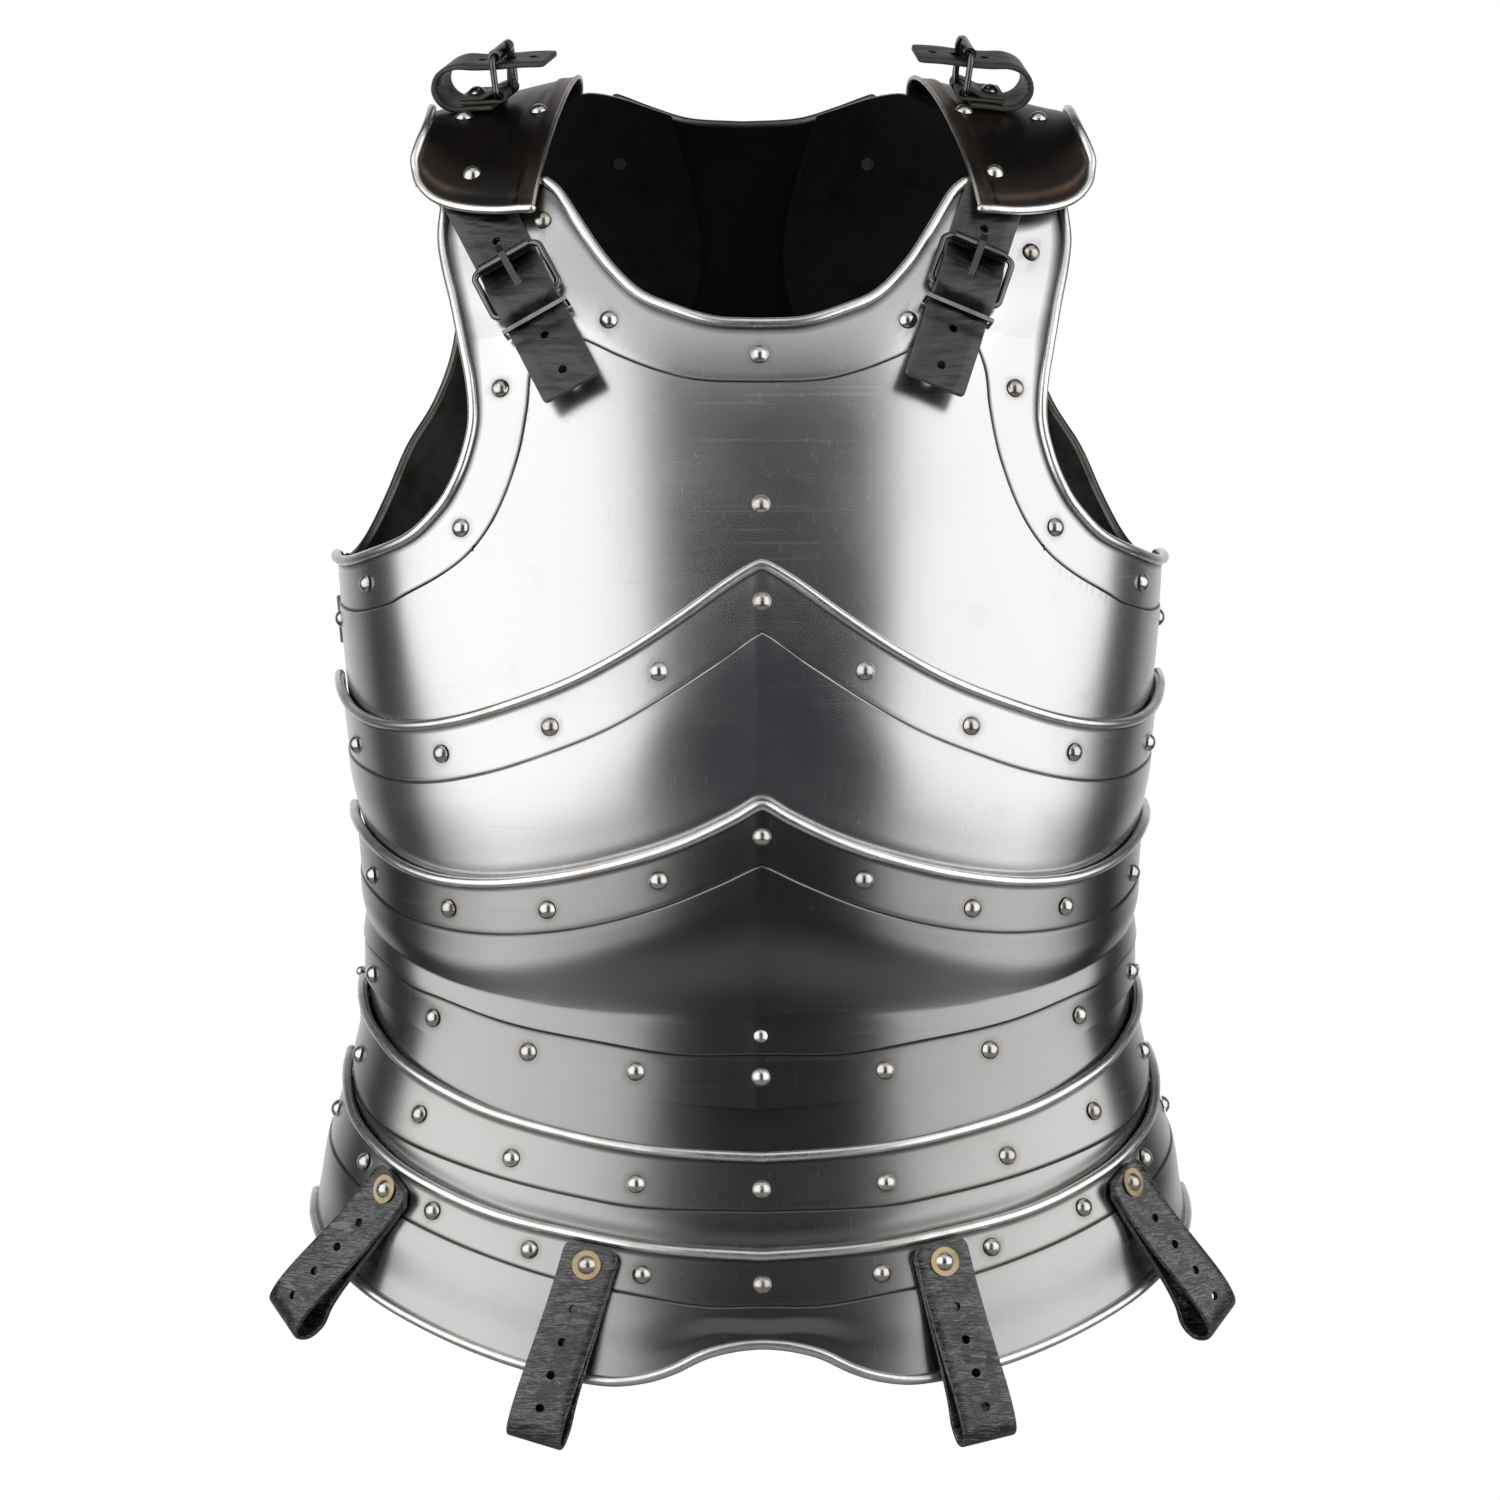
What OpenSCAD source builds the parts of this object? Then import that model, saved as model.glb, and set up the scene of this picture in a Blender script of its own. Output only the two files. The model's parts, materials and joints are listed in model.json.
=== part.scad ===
// Chest armour of plates: a breastplate with two plackarts, a waist lame and two fauld
// lames in front, a three-piece backplate and two culet lames behind, shoulder caps,
// buckled shoulder and side straps, pauldron straps and four hanging strap loops.
// Millimetres. +X is the viewer's right, the front faces -Y and +Z is up.
// The origin is the middle of the line on which the armour bears on the shoulders.

/* [Torso] */
// Width of the chest inside the plates
chest_w = 375; // [340:1:410]
// Depth of the chest before its side line
chest_front = 143; // [125:1:160]
// Depth of the chest behind its side line
chest_back = 118; // [100:1:135]

/* [Torso sections] */
// Each row holds a height, then how much the torso is wider on each side, deeper in front and
// deeper behind than at the chest
// Collar section
collar = [30, -37.5, -88, -48]; // [-590:0.5:30]
// Shoulder section
shoulder = [-40, -15.5, -59, -18]; // [-590:0.5:30]
// Upper chest section
upper_chest = [-90, -3.5, -33, -6]; // [-590:0.5:30]
// Armpit section
armpit = [-140, 0.5, -15, 0]; // [-590:0.5:30]
// Chest section
chest = [-200, 0, 0, 0]; // [-590:0.5:30]
// Lower chest section
lower_chest = [-245, -3.5, 4, -4]; // [-590:0.5:30]
// Rib section
ribs = [-300, -9.5, 2, -13]; // [-590:0.5:30]
// Belly section
belly = [-345, -13.5, -3, -21]; // [-590:0.5:30]
// Waist section
waist = [-385, -14.5, -9, -26]; // [-590:0.5:30]
// Upper hip section
upper_hip = [-410, -12.5, -10.5, -25]; // [-590:0.5:30]
// Hip section
hip = [-441, -4.5, -8, -20]; // [-590:0.5:30]
// Skirt section
skirt = [-478, 6.5, 0, -11]; // [-590:0.5:30]
// Hem section
hem = [-520, 13.5, 10, -1]; // [-590:0.5:30]
// Foot section
foot = [-580, 18.5, 20, 8]; // [-590:0.5:30]
// Roundness of a section across its width, 1 for an ellipse
side_bow = 0.92; // [0.85:0.01:1]
// Roundness of a section through its depth, 1 for an ellipse
depth_bow = 0.86; // [0.8:0.01:1]

/* [Plate] */
// Thickness of the steel
plate_t = 1.5; // [1:0.1:2]
// Radius of the rolled rims
roll_r = 2.3; // [1.8:0.1:2.6]
// Free space between a plate and the one that it laps
lap_gap = 1.7; // [1.2:0.1:2.2]
// Free space between the blade plates and the centre plate of the back
seam_gap = 1.1; // [0.8:0.1:1.3]
// Free space between two plates that are riveted together
seat_gap = 0.3; // [0.2:0.05:0.5]
// Lap of the breastplate and the plackarts
plackart_lap = 30; // [24:1:34]
// Lap of the waist and skirt lames
lame_lap = 26; // [22:1:28]
// Tuck of the waist lame under the flange of the lower plackart
flange_tuck = 16; // [12:1:18]
// Angle from the front centre at which the front plates end
front_end = 91; // [90:0.5:92]
// Angle from the back centre at which the back plates end
back_end = 84; // [82:0.5:85]

/* [Rivets] */
// Radius of a rivet head
rivet_r = 4.1; // [3:0.1:5]
// Height of a rivet head
rivet_h = 2.6; // [1.8:0.1:3]
// Radius of a rivet shank
shank_r = 1.9; // [1.4:0.1:2.2]
// Free space round a shank in a fixed plate
rivet_fit = 0.1; // [0.05:0.05:0.2]
// Free space round a shank that a lame turns on
pivot_fit = 0.5; // [0.4:0.05:0.7]
// Radius of a peened rivet end
peen_r = 3; // [2.5:0.1:3.5]
// Height of a peened rivet end
peen_h = 0.9; // [0.6:0.1:1.2]

/* [Straps and buckles] */
// Width of the shoulder straps
strap_w = 28; // [24:1:32]
// Thickness of the strap leather
strap_t = 2.4; // [2:0.1:3]
// Width of the chapes that hold the buckles
chape_w = 22; // [18:1:24]
// Thickness of the chape leather
chape_t = 1.8; // [1.4:0.1:2]
// Radius of the buckle wire
wire_r = 1.5; // [1.2:0.1:1.8]
// Outer radius of a buckle roller
roller_r = 2.9; // [2.5:0.1:3.3]
// Running gap of the rollers and the prongs on the wire
wire_fit = 0.1; // [0.05:0.05:0.15]
// Distance from a buckle's hinge bar to its roller
buckle_l = 24; // [22:0.5:27]
// Width of a prong
prong_w = 3; // [2.5:0.1:3.5]
// Radius of the holes in the straps
hole_r = 2; // [1.6:0.1:2.3]
// Angle from the front centre of the left and right shoulder buckles
strap_angle = [32.5, 28.5]; // [26:0.5:35]
// Height of the left and right shoulder buckles
strap_z = [-79, -75]; // [-85:0.5:-70]
// Lean of the left and right shoulder straps towards the neck
strap_lean = [31, 24]; // [15:1:35]
// Width of the pauldron straps
pauldron_w = 25; // [20:1:28]
// Turn of the left and right pauldron straps about a vertical line
pauldron_turn = [17, 6]; // [0:1:20]
// Width of the side straps
side_w = 22; // [18:1:26]
// Angle from the front centre of the side buckles
side_strap_angle = 112; // [108:1:116]
// Height of the side buckles
side_strap_z = -228; // [-240:1:-215]
// Length of the pauldron buckles from hinge bar to roller
pauldron_buckle_l = 18.5; // [17:0.5:20]

/* [Strap loops] */
// Width of the strap loops
loop_w = 25; // [20:1:28]
// Length of a strap loop below its rivet
loop_l = 80; // [70:1:90]
// Distance between the holes of a strap loop
loop_pitch = 15; // [12:0.5:16]
// Radius of a brass washer
washer_r = 6.4; // [5.5:0.1:7]
// Thickness of a brass washer
washer_t = 0.8; // [0.6:0.1:1.2]

/* [Hidden] */
$fn = 24;

sections = [for (row = [collar, shoulder, upper_chest, armpit, chest, lower_chest, ribs, belly,
    waist, upper_hip, hip, skirt, hem, foot]) row + [0, chest_w / 2, chest_front, chest_back]];

// Edges of the front plates: angle from the centre line, height
neck_edge = [[0, -93], [5, -92], [10, -87], [15, -80], [20, -66], [25, -48], [29, -34.5], [31.5, -30]];
upper_plackart_edge = [[0, -197], [3, -204], [9, -219], [16, -234], [24, -247], [33, -257],
    [43, -265], [53, -269], [64, -269], [74, -265], [84, -257], [92, -251]];
lower_plackart_edge = [[0, -300], [3, -307], [10, -318], [19, -327], [28, -333], [39, -337],
    [50, -337], [60, -333], [70, -326], [80, -318], [92, -311]];
flange_edge = [[0, -436], [14, -432], [23, -429], [34, -423], [46, -415], [57, -406],
    [69, -397], [80, -391], [92, -387]];
upper_fauld_edge = [[0, -457], [10, -455], [18, -452], [27, -447], [38, -440], [48, -432],
    [60, -422], [68, -414], [76, -407], [85, -398], [92, -392]];
lower_fauld_edge = [[0, -499], [12, -496], [22, -491], [34, -484], [46, -474], [54, -467],
    [63, -458], [71, -450], [79, -440], [92, -426]];
hem_edge = [[0, -536], [2.5, -537], [6, -540.5], [9.5, -547], [13, -551], [17.5, -552.5],
    [27, -548], [36, -541], [46, -532], [56, -523], [72, -508], [92, -491]];

// Armhole of the breastplate from its tip at the side up to the shoulder
front_arm = [[front_end, -197], [75, -198.5], [63, -194], [52.5, -186], [46, -173], [43, -162],
    [41, -150], [39.8, -135], [40.5, -118], [42.5, -100], [45, -83], [48, -68], [50.5, -54],
    [51.5, -38]];
// Row of the breastplate's grid that ends at the armhole's tip
front_shelf = [[0, -180], [30, -194], [52, -208], [75, -210], [85, -204], [front_end, -197]];

// Armhole of a blade plate, as angles from the back centre line
back_arm = [[back_end, -198], [79, -201], [72, -198], [66, -189], [60, -172], [54.5, -150],
    [48.5, -130], [45, -108], [44.5, -86], [47, -65], [51, -45], [55, -32], [60, -21]];
back_shelf = [[20, -190], [40, -204], [60, -213], [75, -210], [back_end, -198]];
// Neck edge of the back and the hidden top of a blade plate
back_neck_edge = [[0, -0.5], [7, 1], [13, 6], [20, 12], [26, 14.5], [29, 12.5], [33, 8]];
// Inner edge of a blade plate and side edge of the centre plate: height, angle
blade_edge = [[15, 12], [-33, 6.6], [-65, 5.2], [-88, 6.7], [-130, 12], [-180, 18], [-250, 22], [-420, 20]];
centre_edge = [[15, 20], [-50, 31], [-120, 37], [-220, 37], [-320, 33], [-420, 30]];
// Edges of the culet: angle from the back centre line, height
back_line = 180;
back_foot = -414;
centre_foot = back_foot + 10;
upper_culet_edge = [[0, back_foot + 16], [30, back_foot + 17], [60, back_foot + 20], [90, back_foot + 24]];
lower_culet_edge = [[0, back_foot - 32], [30, back_foot - 30], [60, back_foot - 24], [90, back_foot - 16]];
culet_hem_edge = [[0, back_foot - 126], [20, back_foot - 126], [45, back_foot - 116],
    [70, back_foot - 96], [90, back_foot - 80]];

// Rivets: angle from the centre line, height. The last of a lame's rivets is its pivot.
neck_rivets = [[0, -106], [19, -91]];
arm_rivets = [[35.3, -121], [42.2, -182], [66.5, -208]];
// Border rivets that the buckled straps leave room for, one on each side
clear_rivets = [[41.7, -61], [-31, -47]];
centre_rivet = [0, -171];
upper_plackart_rivets = [[0, -213], [12.3, -243], [28, -267.5], [48, -281], [76, -281]];
lower_plackart_rivets = [[0, -314.5], [13, -334], [30, -348], [49, -350], [74, -340]];
flange_rivets = [[0, -421.7], [16, -419.5], [33, -412.5], [53, -400.5]];
waist_pivot = [76, -386];
lower_centre_rivet = [0, -404];
upper_fauld_rivets = [[0, -470.7], [14.7, -468.5], [33, -459.5], [52, -444], [78, -424]];
lower_fauld_rivets = [[0, -511], [13.4, -507], [28.5, -498], [45, -484.5], [63, -468], [84, -451]];
seam_rivets = [[19, -16], [27, -65], [32, -130], [33, -200], [30, -280], [27, -360]];
upper_culet_rivets = [[0, back_foot + 5], [20, back_foot + 5.5], [45, back_foot + 7], [66, back_foot + 9],
    [80, back_foot + 11]];
lower_culet_rivets = [[0, back_foot - 43], [20, back_foot - 42.5], [45, back_foot - 38], [64, back_foot - 34],
    [80, back_foot - 30]];

// Offsets of a plate's middle from the torso
field = plate_t / 2;
band = plate_t + lap_gap + plate_t / 2;
full_plackart = plackart_lap + 6;
full_lame = lame_lap + 3;
plain = plate_t / 2;

half_columns = 15;
rim_steps = 5;
drill_l = 12;

function unit(v) = v / norm(v);
function lerp(a, b, f) = a + (b - a) * f;
function bow(a, power) = sign(a) * pow(abs(a), power);

// Smooth curve through rows, whose first entries rise or fall steadily
function direction(rows) = sign(rows[1][0] - rows[0][0]);
function interval(rows, x, i = 0) =
    i >= len(rows) - 2 || direction(rows) * (x - rows[i + 1][0]) < 0 ? i : interval(rows, x, i + 1);
function tangent(rows, i, k) = let (a = max(i - 1, 0), b = min(i + 1, len(rows) - 1))
    (rows[b][k] - rows[a][k]) / (rows[b][0] - rows[a][0]);
function hermite(p, q, mp, mq, s) =
    (2 * s * s * s - 3 * s * s + 1) * p + (s * s * s - 2 * s * s + s) * mp
    + (3 * s * s - 2 * s * s * s) * q + (s * s * s - s * s) * mq;
function along(rows, x, k = 1) = let (
    i = interval(rows, x),
    h = rows[i + 1][0] - rows[i][0],
    s = max(0, min(1, (x - rows[i][0]) / h)))
    hermite(rows[i][k], rows[i + 1][k], h * tangent(rows, i, k), h * tangent(rows, i + 1, k), s);

// The torso: t is the angle round it from the front centre, z the height
function torso(t, z) = let (depth = along(sections, z, cos(t) >= 0 ? 2 : 3))
    [along(sections, z, 1) * bow(sin(t), side_bow), -depth * bow(cos(t), depth_bow), z];
function outward(t, z) = unit(cross(torso(t + 0.5, z) - torso(t - 0.5, z),
    torso(t, z + 0.5) - torso(t, z - 0.5)));
function skin(t, z, off) = torso(t, z) + off * outward(t, z);

// Rows of [fraction, a, b] along a path of [t, z], the fraction being of its length
function lengths(points, i = 0, sum = 0) = i >= len(points) ? [] :
    let (next = i == 0 ? 0 : sum + norm(points[i] - points[i - 1]))
    concat([next], lengths(points, i + 1, next));
function paced(path) = let (l = lengths([for (p = path) torso(p[0], p[1])]))
    [for (i = [0:len(path) - 1]) [l[i] / l[len(path) - 1], path[i][0], path[i][1]]];
function at(rows, f) = [along(rows, f, 1), along(rows, f, 2)];

// Patch between four edges, each a point of [t, z]
function patch(u, v, bottom, top, left, right, b0, b1, t0, t1) =
    (1 - v) * bottom + v * top + (1 - u) * left + u * right
    - (1 - u) * (1 - v) * b0 - (1 - u) * v * t0 - u * (1 - v) * b1 - u * v * t1;

// Closed plate round a grid of middle points, rows from the bottom, columns rising with t.
// rims has the rim's radius at each point of the outline, from the first row's start round.
module plate(grid, rims) {
    rows = len(grid);
    columns = len(grid[0]);
    count = 2 * (rows + columns) - 4;
    outline = concat(
        [for (i = [0:columns - 2]) [0, i]], [for (j = [0:rows - 2]) [j, columns - 1]],
        [for (i = [columns - 1:-1:1]) [rows - 1, i]], [for (j = [rows - 1:-1:1]) [j, 0]]);
    normals = [for (j = [0:rows - 1]) [for (i = [0:columns - 1]) unit(cross(
        grid[j][min(i + 1, columns - 1)] - grid[j][max(i - 1, 0)],
        grid[min(j + 1, rows - 1)][i] - grid[max(j - 1, 0)][i]))]];
    spot = [for (p = outline) grid[p[0]][p[1]]];
    up = [for (p = outline) normals[p[0]][p[1]]];
    out = [for (k = [0:count - 1])
        unit(cross(spot[(k + 1) % count] - spot[(k + count - 1) % count], up[k]))];
    start = [for (r = rims) 180 - asin((plate_t - r) / r)];
    rings = [for (step = [0:rim_steps]) [for (k = [0:count - 1]) let (
        a = lerp(start[k], -90, step / rim_steps), r = rims[k])
        spot[k] + up[k] * (r - plate_t / 2) + r * (cos(a) * out[k] + sin(a) * up[k])]];
    inner = [for (j = [1:rows - 2]) [for (i = [1:columns - 2]) [j, i]]];
    points = concat(
        [for (ring = rings) each ring],
        [for (row = inner) for (p = row) grid[p[0]][p[1]] + plate_t / 2 * normals[p[0]][p[1]]],
        [for (row = inner) for (p = row) grid[p[0]][p[1]] - plate_t / 2 * normals[p[0]][p[1]]]);
    inner_start = (rim_steps + 1) * count;
    inner_count = (rows - 2) * (columns - 2);
    // Index of a grid point on the outer side, or on the inner side when side is 1
    function rim_index(j, i) = j == 0 ? i : i == columns - 1 ? columns - 1 + j
        : j == rows - 1 ? columns - 1 + rows - 1 + columns - 1 - i : count - j;
    function index(j, i, side) = j == 0 || i == 0 || j == rows - 1 || i == columns - 1
        ? rim_index(j, i) % count + side * rim_steps * count
        : inner_start + side * inner_count + (j - 1) * (columns - 2) + i - 1;
    faces = concat(
        [for (j = [0:rows - 2]) for (i = [0:columns - 2]) each [
            [index(j, i, 0), index(j + 1, i + 1, 0), index(j, i + 1, 0)],
            [index(j, i, 0), index(j + 1, i, 0), index(j + 1, i + 1, 0)],
            [index(j, i, 1), index(j, i + 1, 1), index(j + 1, i + 1, 1)],
            [index(j, i, 1), index(j + 1, i + 1, 1), index(j + 1, i, 1)]]],
        [for (step = [0:rim_steps - 1]) for (k = [0:count - 1]) let (
            o = step * count + k, o2 = step * count + (k + 1) % count,
            n = o + count, n2 = o2 + count) each [[n2, n, o], [o2, n2, o]]]);
    polyhedron(points, faces, convexity = 10);
}

// The same radius along each side of a plate's outline
function even_rims(rows, columns, bottom, side, top) = concat(
    [for (i = [0:columns - 2]) i == 0 ? max(bottom, side) : bottom],
    [for (j = [0:rows - 2]) j == 0 ? max(bottom, side) : side],
    [for (i = [0:columns - 2]) i == 0 ? max(top, side) : top],
    [for (j = [0:rows - 2]) j == 0 ? max(top, side) : side]);

// Angles of the columns of a plate across the front or the back
front_angles = [for (i = [-half_columns:half_columns]) front_end * i / half_columns];
back_angles = [for (i = [-half_columns:half_columns]) back_end * i / half_columns];

// Grid of a lame round a centre angle. A row is [share of the way down, rise, offset].
function lame_grid(centre, angles, top, bottom, top_shift, bottom_shift, rows) =
    [for (row = rows) [for (a = angles) let (
        high = along(top, abs(a)) + top_shift, low = along(bottom, abs(a)) + bottom_shift)
        skin(centre + a, lerp(high, low, row[0]) + row[1], row[2])]];

// A module's children at a place on the torso, their +Z pointing outward
module on_torso(t, z, off) {
    n = outward(t, z);
    translate(skin(t, z, off)) rotate([0, acos(n[2]), atan2(n[1], n[0])]) children();
}

// Places of a list of rivets on both sides of a centre angle
function both(list, centre = 0) = [for (p = list) each
    p[0] == 0 ? [[centre, p[1]]] : [[centre - p[0], p[1]], [centre + p[0], p[1]]]];

module rivet(grip, peened = false) {
    ball = (rivet_r * rivet_r + rivet_h * rivet_h) / (2 * rivet_h);
    intersection() {
        translate([0, 0, rivet_h - ball]) sphere(ball);
        cylinder(r = rivet_r + 1, h = rivet_h + 1);
    }
    translate([0, 0, -grip]) cylinder(r = shank_r, h = grip + 0.5);
    if (peened) translate([0, 0, -grip - peen_h]) cylinder(r = peen_r, h = peen_h);
}

// Rivets whose heads sit on a plate with its middle at an offset
module rivets(places, off, grip, peened = false) {
    for (p = places) on_torso(p[0], p[1], off + plate_t / 2 + rivet_fit) rivet(grip, peened);
}

module drills(places, r) {
    for (p = places) on_torso(p[0], p[1], 0) cylinder(r = r, h = 2 * drill_l, center = true);
}

// Length of the shanks through one plate, and through a lame and the plate under it
single_grip = plate_t + 2 * rivet_fit + 0.5;
pivot_grip = 2 * plate_t + lap_gap + 0.4;

// Breastplate
arm_rows = 13;
low_rows = 3;
neck_share = 0.72;
shoulder_edge = [[neck_share, 31.5, -30], [0.8, 37, -35], [1, 51.5, -38]];
front_foot = [for (p = upper_plackart_edge) [p[0], p[1] - plackart_lap]];
front_arm_pace = paced(front_arm);
function front_top(u) = u <= neck_share
    ? let (t = shoulder_edge[0][1] * u / neck_share) [t, along(neck_edge, t)] : at(shoulder_edge, u);
function front_low(u, f) = let (t = front_end * u)
    [t, lerp(along(front_foot, t), along(front_shelf, t), f)];
function front_high(u, v) = patch(u, v, front_low(u, 1), front_top(u),
    [0, lerp(front_shelf[0][1], neck_edge[0][1], v)], at(front_arm_pace, v),
    front_low(0, 1), front_low(1, 1), front_top(0), front_top(1));
function front_spot(row, u) = let (
    p = row <= low_rows ? front_low(abs(u), row / low_rows)
        : front_high(abs(u), (row - low_rows) / arm_rows))
    [p[0] * (u < 0 ? -1 : 1), p[1]];

module breastplate() {
    rows = low_rows + arm_rows + 1;
    grid = [for (row = [0:rows - 1]) [for (i = [-half_columns:half_columns])
        let (p = front_spot(row, i / half_columns)) skin(p[0], p[1], field)]];
    rims = concat(
        [for (i = [1:2 * half_columns]) plain],
        [for (j = [0:rows - 2]) j < low_rows ? plain : roll_r],
        [for (i = [1:2 * half_columns]) abs(1 - (i - 1) / half_columns) > neck_share && i > 1 ? plain : roll_r],
        [for (j = [0:rows - 2]) rows - 1 - j < low_rows ? plain : roll_r]);
    color("silver") difference() {
        plate(grid, rims);
        drills(concat(both(concat(neck_rivets, arm_rivets)), clear_rivets, [centre_rivet]), shank_r + rivet_fit);
        drills(both([last(upper_plackart_rivets)]), shank_r + pivot_fit);
        for (side = [0, 1]) flip(side) {
            in_frame(shoulder_frame(side)) drill_at(shoulder_frame(side), chape_rivet_s);
            in_frame(side_frame()) drill_at(side_frame(), side_root_s);
        }
    }
}
module breastplate_rivets() color("gainsboro") {
    rivets(both(concat(neck_rivets, arm_rivets)), field, single_grip, true);
    rivets(concat(clear_rivets, [centre_rivet]), field, single_grip, true);
    for (side = [0, 1]) flip(side) {
        in_frame(shoulder_frame(side)) seated(shoulder_frame(side), chape_rivet_s, chape_top + rivet_fit)
            rivet(chape_top + plate_t + seat_gap, true);
        in_frame(side_frame()) seated(side_frame(), side_root_s, rivet_fit)
            rivet(strap_t + plate_t + 4 * seat_gap, true);
    }
}

// Front lames. A row is [share of the way down, rise, offset], from the bottom up.
plackart_band = [[0, -full_plackart, band], [0, -24, band], [0, -12, band], [0, 0, band]];
lame_band = [[0, -full_lame, band], [0, -12, band], [0, 0, band]];
flange_t = 16;
flange_rise = 14;
culet_band = field + 2 * plate_t + seam_gap + 1.6;

module lame(centre, angles, top, bottom, top_shift, bottom_shift, rows, bottom_rim, top_rim) {
    grid = lame_grid(centre, angles, top, bottom, top_shift, bottom_shift, rows);
    plate(grid, even_rims(len(rows), len(angles), bottom_rim, plain, top_rim));
}

module upper_plackart() color("silver") difference() {
    lame(0, front_angles, upper_plackart_edge, lower_plackart_edge, 0, -plackart_lap,
        concat([[1, 0, field], [0.78, 0, field], [0.55, 0, field]], plackart_band), plain, roll_r);
    drills(both(upper_plackart_rivets), shank_r + rivet_fit);
    drills(both([last(lower_plackart_rivets)]), shank_r + pivot_fit);
}
module upper_plackart_rivets() color("gainsboro") {
    rivets(both(but_last(upper_plackart_rivets)), band, single_grip);
    rivets(both([last(upper_plackart_rivets)]), band, pivot_grip, true);
}
module lower_plackart() color("silver") difference() {
    lame(0, front_angles, lower_plackart_edge, flange_edge, 0, 0,
        concat([[1, 0, band], [1, flange_t, band], [1, flange_t + flange_rise, field], [0.53, 0, field]], plackart_band),
        plain, roll_r);
    drills(both(concat(lower_plackart_rivets, flange_rivets, [lower_centre_rivet])), shank_r + rivet_fit);
    drills(both([waist_pivot]), shank_r + pivot_fit);
}
module lower_plackart_rivets() color("gainsboro") {
    rivets(both(concat(but_last(lower_plackart_rivets), flange_rivets)), band, single_grip);
    rivets(both([last(lower_plackart_rivets)]), band, pivot_grip, true);
    rivets(both([lower_centre_rivet]), field, single_grip, true);
}
module waist_lame() color("silver") difference() {
    lame(0, front_angles, flange_edge, upper_fauld_edge, flange_tuck, -lame_lap,
        [[1, 0, field], [0.66, 0, field], [0.33, 0, field], [0, 0, field]], plain, plain);
    drills(both([waist_pivot]), shank_r + rivet_fit);
    drills(both([last(upper_fauld_rivets)]), shank_r + pivot_fit);
}
module waist_lame_rivets() color("gainsboro")
    rivets(both([waist_pivot]), band, pivot_grip, true);
module upper_fauld_lame() color("silver") difference() {
    lame(0, front_angles, upper_fauld_edge, lower_fauld_edge, 0, -lame_lap,
        [[1, 0, field], [0.8, 0, field], [0.62, 0, field], [0.42, 0, band], [0, -12, band], [0, 0, band]],
        plain, roll_r);
    drills(both(upper_fauld_rivets), shank_r + rivet_fit);
    drills(both([last(lower_fauld_rivets)]), shank_r + pivot_fit);
}
module upper_fauld_rivets() color("gainsboro") {
    rivets(both(but_last(upper_fauld_rivets)), band, single_grip);
    rivets(both([last(upper_fauld_rivets)]), band, pivot_grip, true);
}
hem_field = field + 1;
module lower_fauld_lame() color("silver") difference() {
    lame(0, front_angles, lower_fauld_edge, hem_edge, 0, 0,
        concat([[1, 0, hem_field], [0.8, 0, hem_field]], lame_band), roll_r, roll_r);
    drills(both(lower_fauld_rivets), shank_r + rivet_fit);
    for (p = loops) on_torso(p[0], p[1], 0) cylinder(r = shank_r + rivet_fit, h = 2 * drill_l, center = true);
}
module lower_fauld_rivets() color("gainsboro") {
    rivets(both(but_last(lower_fauld_rivets)), band, single_grip, true);
    rivets(both([last(lower_fauld_rivets)]), band, pivot_grip, true);
}

// Backplate
back_low_rows = 6;
back_high_rows = 9;
blade_columns = 9;
back_arm_pace = paced([for (p = back_arm) [back_line - p[0], p[1]]]);
tab_in = [33, 8];
blade_neck_share = 0.5;
function blade_inner(f) = let (z = lerp(back_foot, back_neck_edge[2][1], f)) [along(blade_edge, z), z];
shelf_share = 0.53;
// u runs from the side (0) to the inner edge (1), as angles from the back centre line
function blade_low(u, f) = let (e = blade_inner(f * shelf_share), side = lerp(back_foot, back_arm[0][1], f))
    [lerp(back_end, e[0], u), lerp(side, e[1], u) - 12 * sin(180 * u) * f];
function blade_top(u) = u <= blade_neck_share
    ? lerp(last(back_arm), tab_in, u / blade_neck_share)
    : let (t = lerp(tab_in[0], blade_inner(1)[0], (u - blade_neck_share) / (1 - blade_neck_share)))
        [t, along(back_neck_edge, t)];
function blade_arm(v) = let (p = at(back_arm_pace, v)) [back_line - p[0], p[1]];
function blade_high(u, v) = patch(u, v, blade_low(u, 1), blade_top(u), blade_arm(v),
    blade_inner(lerp(shelf_share, 1, v)), blade_low(0, 1), blade_low(1, 1), blade_top(0), blade_top(1));
function blade_spot(row, u) = row <= back_low_rows ? blade_low(u, row / back_low_rows)
    : blade_high(u, (row - back_low_rows) / back_high_rows);

module blade_plate() {
    rows = back_low_rows + back_high_rows + 1;
    grid = [for (row = [0:rows - 1]) [for (i = [0:blade_columns])
        let (p = blade_spot(row, i / blade_columns)) skin(back_line - p[0], p[1], field)]];
    rims = concat(
        [for (i = [1:blade_columns]) plain],
        [for (j = [0:rows - 2]) plain],
        [for (i = [1:blade_columns]) plain],
        [for (j = [0:rows - 2]) j < 2 || rows - 1 - j < back_low_rows ? plain : roll_r]);
    difference() {
        plate(grid, rims);
        drills([for (p = seam_rivets) [back_line - p[0], p[1]]], shank_r + rivet_fit);
        drills([[back_line - last(upper_culet_rivets)[0], last(upper_culet_rivets)[1]]], shank_r + pivot_fit);
        for (p = cap_back_rivets) cap_drill(p);
        in_frame(side_frame()) drill_at(side_frame(), chape_rivet_s);
    }
}
module left_blade_plate() color("dimgray") flip(0) blade_plate();
module right_blade_plate() color("dimgray") blade_plate();

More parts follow.
